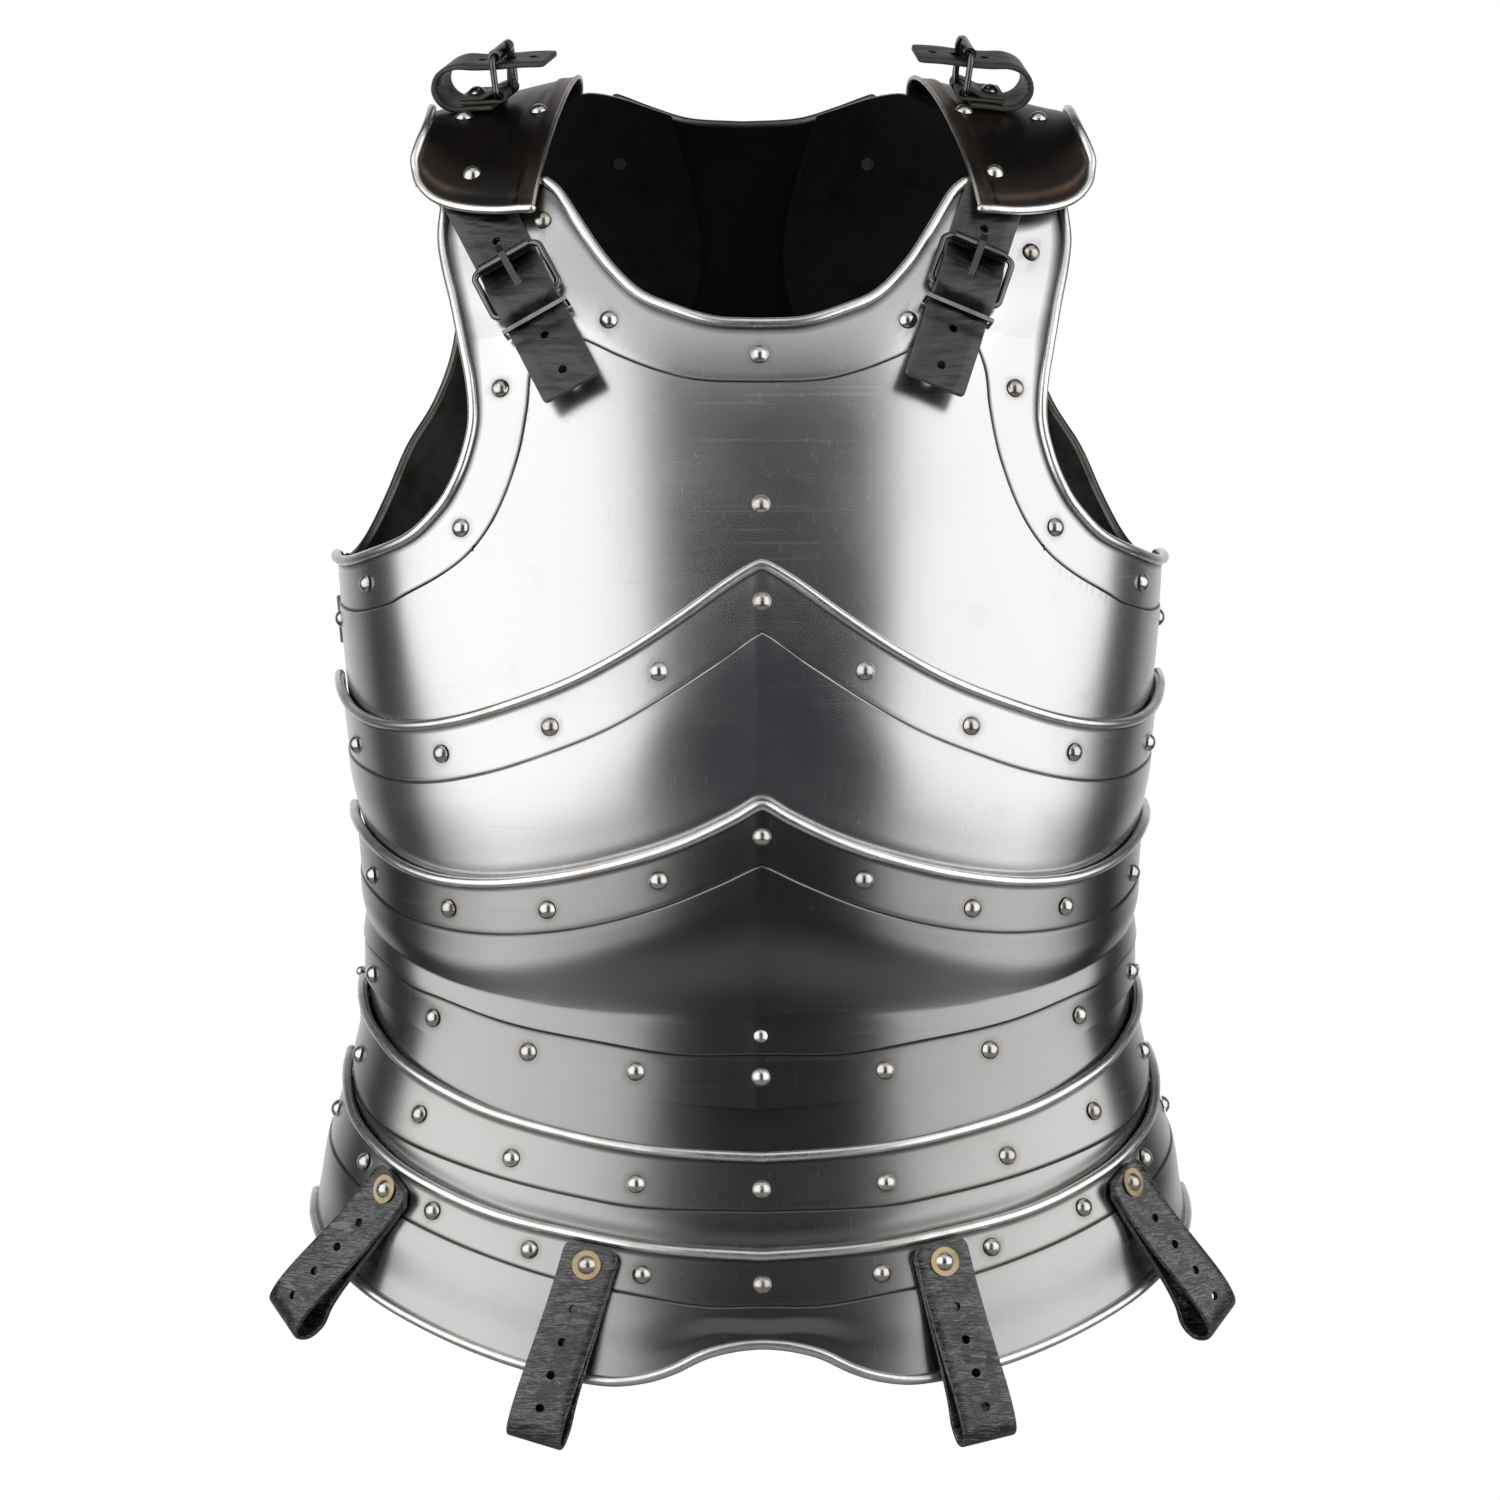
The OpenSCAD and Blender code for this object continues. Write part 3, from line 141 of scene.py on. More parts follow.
def paced(path):  # a path's spots, each after its share of the path's length
    path = np.asarray(path, float)
    run = runOf(torso(*spotsOf(path)))
    return np.column_stack([run / run[-1], path])


def onPath(rows, f):
    return np.stack([along(rows, f, 1), along(rows, f, 2)], axis=-1)


def coons(bottom, top, left, right):  # a grid filled in between four lines
    u = np.linspace(0, 1, len(bottom))[None, :, None]
    v = np.linspace(0, 1, len(left))[:, None, None]
    return ((1 - v) * bottom[None] + v * top[None] + (1 - u) * left[:, None] + u * right[:, None]
            - (1 - u) * (1 - v) * bottom[0] - (1 - u) * v * top[0]
            - u * (1 - v) * bottom[-1] - u * v * top[-1])


def smoothStep(x, a, b):
    s = np.clip((x - a) / (b - a), 0, 1)
    return s * s * (3 - 2 * s)


# Camera at the photograph's place, a pale floor and soft studio light
stageForm = {
    "cameraAt": (-90.5, -2592.1, -106.1),
    "lookAt": (0, 0, -287.5),
    "focal": 135.65,
    "floorGap": 4,
    "floorRadius": 480,
    "shadowRadius": 240,
    "floorTint": (0.42, 0.42, 0.42),
    "boxes": [  # place, size, strength, soft inner side: side boxes and an overhead one
        ((-1510, -980, 250), (3050, 2900), 45, 0.0),
        ((1590, -845, 250), (2750, 2900), 40, 1.0),
        ((0, -700, 1350), (2600, 1500), 9, None),
    ],
    # Share of a side box that fades towards the front, by height up the box
    "fade": [(0.0, 0.5), (0.13, 0.44), (0.23, 0.2), (0.27, 0.05), (0.55, 0.05), (0.68, 0.35), (1.0, 0.4)],
    "room": [(0.0, (0.014, 0.0165, 0.022)), (0.78, (0.04, 0.04, 0.042)), (0.93, (0.6, 0.6, 0.6)),
             (1.0, (0.95, 0.95, 0.95))],
}


class Wire:
    def __init__(self, sheet, socket):
        self.sheet, self.socket = sheet, socket

    def __add__(self, other):
        return self.sheet.maths("ADD", self, other)

    def __sub__(self, other):
        return self.sheet.maths("SUBTRACT", self, other)

    def __rsub__(self, other):
        return self.sheet.maths("SUBTRACT", other, self)

    def __mul__(self, other):
        return self.sheet.maths("MULTIPLY", self, other)

    __radd__, __rmul__ = __add__, __mul__


class Sheet:  # the node tree of a material, a lamp or the world
    def __init__(self, owner):
        owner.use_nodes = True
        self.owner, self.tree = owner, owner.node_tree
        self.tree.nodes.clear()

    def add(self, kind, inputs=None, out=0, **settings):
        node = self.tree.nodes.new(kind)
        for key, value in settings.items():
            if key == "stops":  # places and colours, from first to last
                made = node.color_ramp.elements
                for k, (place, colour) in enumerate([value[0], value[-1], *value[1:-1]]):
                    stop = made[k] if k < 2 else made.new(place)
                    stop.position, stop.color = place, (*colour, 1)
            else:
                setattr(node, key, value)
        for key, value in (inputs or {}).items():
            if isinstance(value, Wire):
                self.tree.links.new(value.socket, node.inputs[key])
            else:
                node.inputs[key].default_value = value
        return Wire(self, node.outputs[out] if node.outputs else None)

    def maths(self, operation, *values, clamp=False):
        return self.add("ShaderNodeMath", dict(enumerate(values)), operation=operation, use_clamp=clamp)

    def place(self, scale=(1, 1, 1), turn=(0, 0, 0)):
        spot = self.add("ShaderNodeTexCoord", out="Object")
        return self.add("ShaderNodeMapping", {"Vector": spot, "Scale": scale, "Rotation": turn})

    def part(self, vector, letter):
        return self.add("ShaderNodeSeparateXYZ", {0: vector}, letter)

    def noise(self, scale, detail=3, rough=0.5, stretch=(1, 1, 1), turn=(0, 0, 0)):
        return self.add("ShaderNodeTexNoise", {
            "Vector": self.place(stretch, turn), "Scale": scale, "Detail": detail, "Roughness": rough})

    def span(self, wire, low, high, toLow=0.0, toHigh=1.0):
        return self.add("ShaderNodeMapRange", {
            "Value": wire, "From Min": low, "From Max": high, "To Min": toLow, "To Max": toHigh})

    def blend(self, factor, a, b):  # a and b are wires or colours
        a, b = (c if isinstance(c, Wire) else (*c, 1) for c in (a, b))
        return self.add("ShaderNodeMix", {0: factor, 6: a, 7: b}, 2, data_type="RGBA")

    def mark(self, name):
        return self.add("ShaderNodeAttribute", out="Fac", attribute_name=name)

    def bump(self, height, distance, strength=1.0, normal=None):
        inputs = {"Height": height, "Distance": distance, "Strength": strength}
        if normal:
            inputs["Normal"] = normal
        return self.add("ShaderNodeBump", inputs)

    def output(self, kind, shader):
        self.add(kind, {"Surface": shader})
        return self.owner

    def finish(self, inputs):
        return self.output("ShaderNodeOutputMaterial", self.add("ShaderNodeBsdfPrincipled", inputs))


def newSheet(name):
    return Sheet(bpy.data.materials.new(name))


def asObject(name, bm, materials=()):
    mesh = bpy.data.meshes.new(name)
    bm.to_mesh(mesh)
    bm.free()
    piece = bpy.data.objects.new(name, mesh)
    bpy.context.scene.collection.objects.link(piece)
    for material in materials:
        mesh.materials.append(material)
    return piece


def softenSide(lamp, front):  # front is the side of the box, 0 or 1, that fades
    sheet = Sheet(lamp)
    spot = sheet.add("ShaderNodeNewGeometry", out="Parametric")
    across = sheet.part(spot, "X")
    stops = [(place, (share,) * 3) for place, share in stageForm["fade"]]
    fade = sheet.add("ShaderNodeValToRGB", {"Fac": sheet.part(spot, "Y")}, stops=stops)
    glow = sheet.maths("DIVIDE", (1 - across if front else across) + 0.01, fade, clamp=True)
    sheet.output("ShaderNodeOutputLight", sheet.add("ShaderNodeEmission", {"Strength": glow}))


def aimed(name, data, spot, target):
    thing = bpy.data.objects.new(name, data)
    bpy.context.scene.collection.objects.link(thing)
    thing.location = Vector(spot) * metre
    thing.rotation_euler = (Vector(target) * metre - thing.location).to_track_quat("-Z", "Y").to_euler()
    return thing


def setStage():
    scene = bpy.context.scene
    scene.view_settings.view_transform = "Standard"
    lens = bpy.data.cameras.new("camera")
    lens.lens, lens.sensor_width, lens.clip_end = stageForm["focal"], 36, 50
    scene.camera = aimed("camera", lens, stageForm["cameraAt"], stageForm["lookAt"])
    for k, (spot, size, power, soft) in enumerate(stageForm["boxes"]):
        lamp = bpy.data.lights.new(f"softbox{k}", "AREA")
        lamp.shape, lamp.size, lamp.size_y, lamp.energy = "RECTANGLE", size[0] * metre, size[1] * metre, power
        target = (0, 0, -200 if soft is None else spot[2])
        aimed(f"softbox{k}", lamp, spot, target).visible_camera = False
        if soft is not None:
            softenSide(lamp, soft)
    # White for the camera. Metal sees the same white behind the armour and a dim room in front.
    scene.world = bpy.data.worlds.new("studio")
    sheet = Sheet(scene.world)
    depth = sheet.part(sheet.add("ShaderNodeTexCoord", out="Generated"), "Y")
    room = sheet.add("ShaderNodeValToRGB", {"Fac": sheet.span(depth, -1, 1)}, stops=stageForm["room"])
    shade = sheet.blend(sheet.add("ShaderNodeLightPath", out="Is Camera Ray"), room, (1, 1, 1))
    sheet.output("ShaderNodeOutputWorld", sheet.add("ShaderNodeBackground", {"Color": shade, "Strength": 1.0}))
    # Floor: white where the camera looks, with the armour's shadow in it
    bm = bmesh.new()
    radius = stageForm["floorRadius"] * metre
    bmesh.ops.create_circle(bm, cap_ends=True, segments=96, radius=radius)
    bmesh.ops.translate(bm, verts=bm.verts, vec=(0, 0, cadBox[0][2] - stageForm["floorGap"] * metre))
    sheet = newSheet("floorPale")
    matt = sheet.add("ShaderNodeBsdfDiffuse", {"Color": (*stageForm["floorTint"], 1)})
    glow = sheet.add("ShaderNodeEmission", {"Color": (1, 1, 1, 1), "Strength": 1.0})
    seen = sheet.add("ShaderNodeLightPath", out="Is Camera Ray")
    spot = sheet.add("ShaderNodeTexCoord", out="Object")
    away = sheet.add("ShaderNodeVectorMath", {0: spot}, "Value", operation="LENGTH")
    edge = sheet.span(away, stageForm["shadowRadius"] * metre, radius * 0.97, 0.82, 1.0)
    lit = sheet.add("ShaderNodeMixShader", {0: seen * edge, 1: matt, 2: glow})
    asObject("floor", bm, [sheet.output("ShaderNodeOutputMaterial", lit)])


setStage()
print("stage set")


# Finishes

def steel(name, tint, rough, patina, toneUnderFrontShade=1.0):  # the last argument is the share of tone kept under painted shade on the plate's front
    sheet = newSheet(name)
    streak = sheet.noise(1, 4, 0.6, stretch=(16, 16, 420))
    fine = sheet.noise(1, 1, 0.5, stretch=(50, 50, 800))
    cloud = sheet.noise(9, 4, 0.55)
    blotch = sheet.noise(34, 4, 0.6)
    broad = sheet.noise(3.2, 3, 0.5, stretch=(1, 1, 0.6))
    scratch = sheet.span(sheet.noise(1, 0, 0.4, stretch=(11, 11, 700), turn=(0.5, 0.55, 0.2)), 0.74, 0.79)
    hair = sheet.span(sheet.noise(1, 0, 0.4, stretch=(700, 700, 24), turn=(0.25, 0.5, 0.0)), 0.76, 0.8)
    marks = scratch * 0.5 + hair * 0.5
    wear, rust, line = map(sheet.mark, ("wear", "rust", "line"))
    stain = rust * (0.25 + 0.5 * cloud) + wear * sheet.span(cloud, 0.42, 0.7) * 0.4 + sheet.span(blotch, 0.6, 0.8) * 0.1
    tone = sheet.blend(sheet.span(broad, 0.3, 0.7), tuple(0.86 * c for c in tint), tint)
    tone = sheet.blend(sheet.span(stain, 0.0, 1.0, 0.0, patina), tone, (0.17, 0.13, 0.09))
    # Painted shade: the plate's front is darkened towards near-black, with a little noise at its sides
    if toneUnderFrontShade < 1:
        across = sheet.maths("ABSOLUTE", sheet.part(sheet.place(), "X") + (cloud - 0.5) * 0.03)
        tone = sheet.blend(sheet.span(across, 0.06, 0.13, 1 - toneUnderFrontShade, 0.0), tone, (0.05, 0.047, 0.043))
    # Dark line: painted shade in the engraved groove and painted shadow under the rims, with some dirt
    tone = sheet.blend(line * sheet.span(blotch, 0.1, 0.5, 0.75, 0.97), tone, (0.012, 0.009, 0.007))
    roughness = rough + (streak - 0.5) * 0.025 + (blotch - 0.5) * 0.05 + (cloud - 0.5) * 0.08
    roughness = roughness + stain * 0.08 + marks * 0.05 + line * 0.15
    normal = sheet.bump(fine, 0.000002, 0.3)
    normal = sheet.bump(cloud, 0.0012, 0.07, normal)
    return sheet.finish({"Base Color": tone, "Metallic": 1.0, "Roughness": roughness, "Normal": normal})


def darkMetal(name, tint, rust, rough):
    sheet = newSheet(name)
    cloud = sheet.noise(14, 5, 0.6)
    grain = sheet.noise(260, 3, 0.6)
    wear = sheet.mark("wear")
    tone = sheet.blend(sheet.span(cloud, 0.35, 0.75), tint, rust)
    tone = sheet.blend(wear * sheet.span(cloud, 0.35, 0.65), tone, (0.20, 0.135, 0.09))
    roughness = rough + (cloud - 0.5) * 0.25 + (grain - 0.5) * 0.08
    normal = sheet.bump(grain, 0.00006, 0.4)
    normal = sheet.bump(cloud, 0.0012, 0.12, normal)
    return sheet.finish({"Base Color": tone, "Metallic": 0.9, "Roughness": roughness, "Normal": normal})


def innerPaintAndShade():  # the inside of the plates: black paint, made near-black as painted shade
    sheet = newSheet("innerBlack")
    cloud = sheet.noise(18, 5, 0.6)
    tone = sheet.blend(sheet.span(cloud, 0.4, 0.75), (0.0016, 0.0016, 0.0016), (0.005, 0.0035, 0.003))
    normal = sheet.bump(sheet.noise(220, 3, 0.6), 0.0001, 0.35)
    return sheet.finish({
        "Base Color": tone, "Roughness": 0.34 + cloud * 0.2, "Normal": normal, "Specular IOR Level": 0.16})


def plainMetal(name, tint, rough, stainTint, scratchy=0.5):
    sheet = newSheet(name)
    cloud = sheet.noise(60, 4, 0.6)
    line = sheet.noise(1, 3, 0.6, stretch=(420, 90, 900), turn=(0.4, 0.2, 0.7))
    tone = sheet.blend(sheet.span(cloud, 0.45, 0.8), tint, stainTint)
    roughness = rough + (line - 0.5) * 0.16 + (cloud - 0.5) * 0.15
    normal = sheet.bump(line, 0.00004, scratchy)
    return sheet.finish({"Base Color": tone, "Metallic": 1.0, "Roughness": roughness, "Normal": normal})


def leather(name, tint, worn, edge, rough, wornShare, coat=0.0, crease=0.4, wave=0.45, fold=(70, 70, 520),
            deep=0.0006, gloss=0.5):
    sheet = newSheet(name)
    cells = sheet.add("ShaderNodeTexVoronoi", {"Vector": sheet.place(), "Scale": 900.0}, "Distance")
    pores = sheet.noise(520, 3, 0.65)
    cloud = sheet.noise(45, 5, 0.6)
    patch = sheet.noise(16, 3, 0.5)
    fold = sheet.noise(1, 4, 0.6, stretch=fold, turn=(0, 0.25, 0))
    side = sheet.mark("edge")
    rubbed = sheet.span(cloud * 0.6 + patch * 0.4, 0.62 - wornShare, 0.78 - wornShare * 0.6)
    tone = sheet.blend(rubbed, tint, worn)
    tone = sheet.blend(side * sheet.span(cloud, 0.3, 0.6, 0.35, 1.0), tone, edge)
    roughness = rough + rubbed * 0.18 + (pores - 0.5) * 0.15 + side * 0.15
    normal = sheet.bump(cells * 0.5 + pores * 0.5, 0.00006, 0.4)
    normal = sheet.bump(sheet.span(fold, 0.35, 0.75), deep, crease, normal)
    normal = sheet.bump(cloud, 0.0008, 0.3, normal)
    normal = sheet.bump(sheet.noise(75, 2, 0.5, stretch=(0.5, 0.5, 1.4)), 0.01 * wave, wave, normal)
    return sheet.finish({"Base Color": tone, "Roughness": roughness, "Normal": normal,
                         "Coat Weight": coat, "Coat Roughness": 0.18, "Specular IOR Level": gloss})


finishes = {
    "polished_steel": steel("satinSteel", (0.63, 0.63, 0.64), 0.25, 0.9),
    "back_steel": steel("backSteel", (0.42, 0.42, 0.43), 0.33, 0.8),
    # The waist and skirt steels are darker copies of the satin steel: painted shade on the lower plates
    "waist_steel": steel("waistSteelShaded", (0.35, 0.348, 0.345), 0.23, 0.9, toneUnderFrontShade=0.75),
    "shaded_skirt_steel": steel("skirtSteelShaded", (0.43, 0.43, 0.42), 0.25, 0.9, toneUnderFrontShade=0.7),
    "cap_metal": darkMetal("capMetal", (0.018, 0.017, 0.0165), (0.040, 0.026, 0.019), 0.34),
    "cap_rim": plainMetal("capRim", (0.44, 0.42, 0.40), 0.3, (0.22, 0.17, 0.13)),
    # The plates' rims are lighter than any steel: burnished wear with a painted highlight
    "rim_steel_and_highlight": plainMetal("rimSteelAndHighlight", (0.84, 0.83, 0.82), 0.3, (0.58, 0.54, 0.49)),
    "back_rim": plainMetal("backRim", (0.14, 0.13, 0.12), 0.34, (0.07, 0.055, 0.045)),
    "inner": innerPaintAndShade(),
    "inner_blade": plainMetal("innerBlade", (0.03, 0.03, 0.029), 0.45, (0.012, 0.010, 0.008)),
    "rivet_steel": plainMetal("rivetSteel", (0.62, 0.61, 0.59), 0.26, (0.36, 0.31, 0.25)),
    "buckle_steel": plainMetal("buckleNickel", (0.15, 0.146, 0.142), 0.2, (0.075, 0.065, 0.055)),
    # The prong is a darker copy of the buckle nickel: painted shade
    "prong_steel": plainMetal("prongNickelShaded", (0.06, 0.058, 0.056), 0.25, (0.04, 0.034, 0.03)),
    "brass": plainMetal("wornBrass", (0.42, 0.33, 0.19), 0.36, (0.20, 0.14, 0.08)),
    "strap_leather": leather("strapLeather", (0.005, 0.005, 0.0048), (0.026, 0.026, 0.024), (0.085, 0.09, 0.07),
                             0.27, 0.10, coat=0.25, crease=0.2),
    "chape_leather": leather("chapeLeather", (0.006, 0.0057, 0.0054), (0.028, 0.024, 0.02), (0.05, 0.045, 0.032),
                             0.44, 0.08, coat=0.1),
    "loop_leather": leather("loopLeather", (0.005, 0.0049, 0.0047), (0.018, 0.016, 0.014), (0.05, 0.042, 0.03),
                            0.16, 0.03, coat=0.8, crease=1.0, wave=0.9, fold=(28, 28, 190), deep=0.003,
                            gloss=0.9),
}
print("finishes made")


# Meshes

def gridOf(bm, points, marks=None):  # an array of points, rows then columns
    rows, columns = points.shape[0] - 1, points.shape[1] - 1
    layers = {key: bm.verts.layers.float.get(key) or bm.verts.layers.float.new(key) for key in (marks or {})}
    made = bmesh.ops.create_grid(bm, x_segments=columns, y_segments=rows, size=0.5)["verts"]
    for v in made:
        i = round((v.co.x + 0.5) * columns)
        j = round((v.co.y + 0.5) * rows)
        v.co = Vector(points[j, i]) * metre
        for key, layer in layers.items():
            v[layer] = float(marks[key][j, i])
    return made


def settle(bm):
    bmesh.ops.remove_doubles(bm, verts=bm.verts, dist=4e-6)
    thin = [f for f in bm.faces if f.calc_area() < 1e-12]
    bmesh.ops.delete(bm, geom=thin, context="FACES")
    loose = [v for v in bm.verts if not v.link_faces]
    bmesh.ops.delete(bm, geom=loose, context="VERTS")


def crisp(bm, angle):
    for face in bm.faces:
        face.smooth = True
    for edge in bm.edges:
        if len(edge.link_faces) == 2:
            edge.smooth = edge.calc_face_angle(0) < math.radians(angle)


def applied(piece):  # the piece's mesh with its modifiers in it
    bpy.context.view_layer.update()
    ready = piece.evaluated_get(bpy.context.evaluated_depsgraph_get())
    bm = bmesh.new()
    bm.from_mesh(ready.to_mesh())
    ready.to_mesh_clear()
    bpy.data.meshes.remove(piece.data)
    return bm


def stands(piece, node):  # the piece is shown in the node's place
    body, slot = bodyOf[node], slotOf[node]
    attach(piece, body)
    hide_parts(node)


def rim(bm, centres, ups, radius, material):  # a rolled rim along a path, with round ends
    ways = unit(np.gradient(centres, axis=0))
    ends = np.radians([84, 60, 32])
    angle = np.concatenate([-ends, np.zeros(len(centres)), ends[::-1]])[:, None]
    k = np.concatenate([[0] * 3, np.arange(len(centres)), [-1] * 3])
    centres, ways = centres[k] + ways[k] * radius * np.sin(angle), ways[k]
    sides = unit(np.cross(ways, ups[k]))
    ups = np.cross(sides, ways)
    turn = np.linspace(0, 2 * math.pi, 15)[None, :, None]
    points = centres[:, None] + radius * np.cos(angle)[..., None] * (
        np.cos(turn) * sides[:, None] + np.sin(turn) * ups[:, None])
    rings = gridOf(bm, points)
    layer = bm.verts.layers.float["wear"]
    for v in rings:
        v[layer] = 0.5
    bmesh.ops.remove_doubles(bm, verts=rings, dist=2e-6)
    faces = list({f for v in rings if v.is_valid for f in v.link_faces})
    openEdges = {e for f in faces for e in f.edges if len(e.link_faces) == 1}
    faces += bmesh.ops.holes_fill(bm, edges=list(openEdges), sides=0)["faces"]
    bmesh.ops.recalc_face_normals(bm, faces=faces)
    for face in faces:
        face.material_index = material


def evenly(points, ups):  # a path in even steps with its bends eased
    run = runOf(points)
    marks = np.linspace(0, run[-1], max(int(run[-1] / plateForm["rimStep"]), 8) + 1)
    points, ups = resample(points, run, marks), resample(ups, run, marks)
    for k in range(8):
        ups[1:-1] = (ups[:-2] + 2 * ups[1:-1] + ups[2:]) / 4
        if k < 3:
            points[1:-1] = (points[:-2] + 2 * points[1:-1] + points[2:]) / 4
    return points, unit(ups)


def normalsOf(grid):
    return unit(np.cross(np.gradient(grid, axis=1), np.gradient(grid, axis=0)) + 1e-9)


def rustAt(grid, places):  # stain round each rivet
    stain = np.zeros(grid.shape[:2])
    for place in places:
        gap = np.linalg.norm(grid - place, axis=-1)
        stain = np.maximum(stain, 1 - smoothStep(gap, plateForm["rustFrom"], plateForm["rustTo"]))
    return stain


def plate(node, patches, rivets, rims, look, rimLook="rim_steel_and_highlight", edgeLook=None, back="inner", metal="steel"):
    # patches are points, normals, wear and dark lines of painted shade with some dirt. Rims are points, normals and a
    # radius, and an edge look is for the last of them.
    thick, name = plateForm["thickness"], f"{node}_{metal}"
    looks = [finishes[key] for key in (look, back, rimLook, edgeLook) if key]
    bm = bmesh.new()
    for grid, ups, wear, line in patches:
        # The line mark is the dark line: painted shade in the groove and painted shadow under the rim, with some dirt
        gridOf(bm, grid + ups * thick / 2, {"wear": wear, "rust": rustAt(grid, rivets), "line": line})
    settle(bm)
    raw = asObject(name + "_raw", bm, looks[:2])
    wall = raw.modifiers.new("wall", "SOLIDIFY")
    wall.thickness, wall.offset, wall.material_offset = thick * metre, -1, 1
    wall.use_quality_normals = True
    bm = applied(raw)
    for k, (points, ups, radius) in enumerate(rims):
        points, ups = evenly(points, ups)
        rim(bm, points + ups * (radius - thick / 2), ups, radius, 3 if edgeLook and k == len(rims) - 1 else 2)
    crisp(bm, 38)
    stands(asObject(name, bm, looks), node)


def handed(grid, sign):  # the right side's grid, or its mirror image for the left side
    if sign < 0:
        grid = grid[:, ::-1] * ((-1, 1, 1) if grid.ndim == 3 else 1)
    return grid


def both(rivets, centre=0):  # the rivets' places on both sides
    return [skin(centre + side, z, plateForm["rivetAt"]) for t, z in rivets for side in sorted({-t, t})]


def shares(n):  # from 0 to 1 in n steps
    return np.linspace(0, 1, n + 1)


# Breastplate
neckEdge = [(0, -93), (5, -92), (10, -87), (15, -80), (20, -66), (25, -48), (29, -34.5), (31.5, -30)]
upperPlackartEdge = [(0, -197), (3, -204), (9, -219), (16, -234), (24, -247), (33, -257), (43, -265), (53, -269),
                     (64, -269), (74, -265), (84, -257), (92, -251)]
lowerPlackartEdge = [(0, -300), (3, -307), (10, -318), (19, -327), (28, -333), (39, -337), (50, -337), (60, -333),
                     (70, -326), (80, -318), (92, -311)]
flangeEdge = [(0, -436), (14, -432), (23, -429), (34, -423), (46, -415), (57, -406), (69, -397), (80, -391), (92, -387)]
upperFauldEdge = [(0, -457), (10, -455), (18, -452), (27, -447), (38, -440), (48, -432), (60, -422), (68, -414),
                  (76, -407), (85, -398), (92, -392)]
lowerFauldEdge = [(0, -499), (12, -496), (22, -491), (34, -484), (46, -474), (54, -467), (63, -458), (71, -450),
                  (79, -440), (92, -426)]
hemEdge = [(0, -536), (2.5, -537), (6, -540.5), (9.5, -547), (13, -551), (17.5, -552.5), (27, -548), (36, -541),
           (46, -532), (56, -523), (72, -508), (92, -491)]
breastForm = {
    "lap": 30,
    "shelf": [(0, -176), (20, -180), (40, -191)],
    "neckLine": [(0, -119), (7, -118), (12, -114), (17, -108), (22, -101), (28, -95)],
    "armLine": [(91, -218), (85, -220), (71, -221.5), (60, -217.5), (55, -213), (46, -203), (40, -192),
                (35.5, -176), (32, -152), (30.5, -130), (30, -112), (28, -95)],
    "armEdge": [(91, -197), (75, -198.5), (63, -194), (52.5, -186), (46, -173), (43, -162), (41, -150),
                (39.8, -135), (40.5, -118), (42.5, -100)],
    "armTop": [(42.5, -100), (45, -83), (48, -68), (50.5, -54), (51.5, -38)],
    "shoulder": [(31.5, -30), (37, -35), (51.5, -38)],
    "rivets": [(0, -106), (19, -91), (35.3, -121), (42.2, -182), (66.5, -208), (0, -171)],
    "clear": [(41.7, -61), (-31, -47)],
    "columns": 60,
    "rows": (16, 130),
    "split": 40,  # angle at which the arm's line leaves the lower field
    "strip": [0, 0.55, 1.1, 2.4],  # distance from the border's line, then even steps
    "stripRows": 9,
}


def stripBetween(a, b, steps, even):  # (t, z) points from line a to edge b, first at fixed distances
    width = np.linalg.norm(torso(*spotsOf(a)) - torso(*spotsOf(b)), axis=-1)
    width = np.maximum(width, 1e-6)
    f = [np.minimum(s / width, 0.5) for s in steps]
    f += [f[-1] + (1 - f[-1]) * k / even for k in range(1, even + 1)]
    f = np.array(f)[..., None]
    return a[None] * (1 - f) + b[None] * f


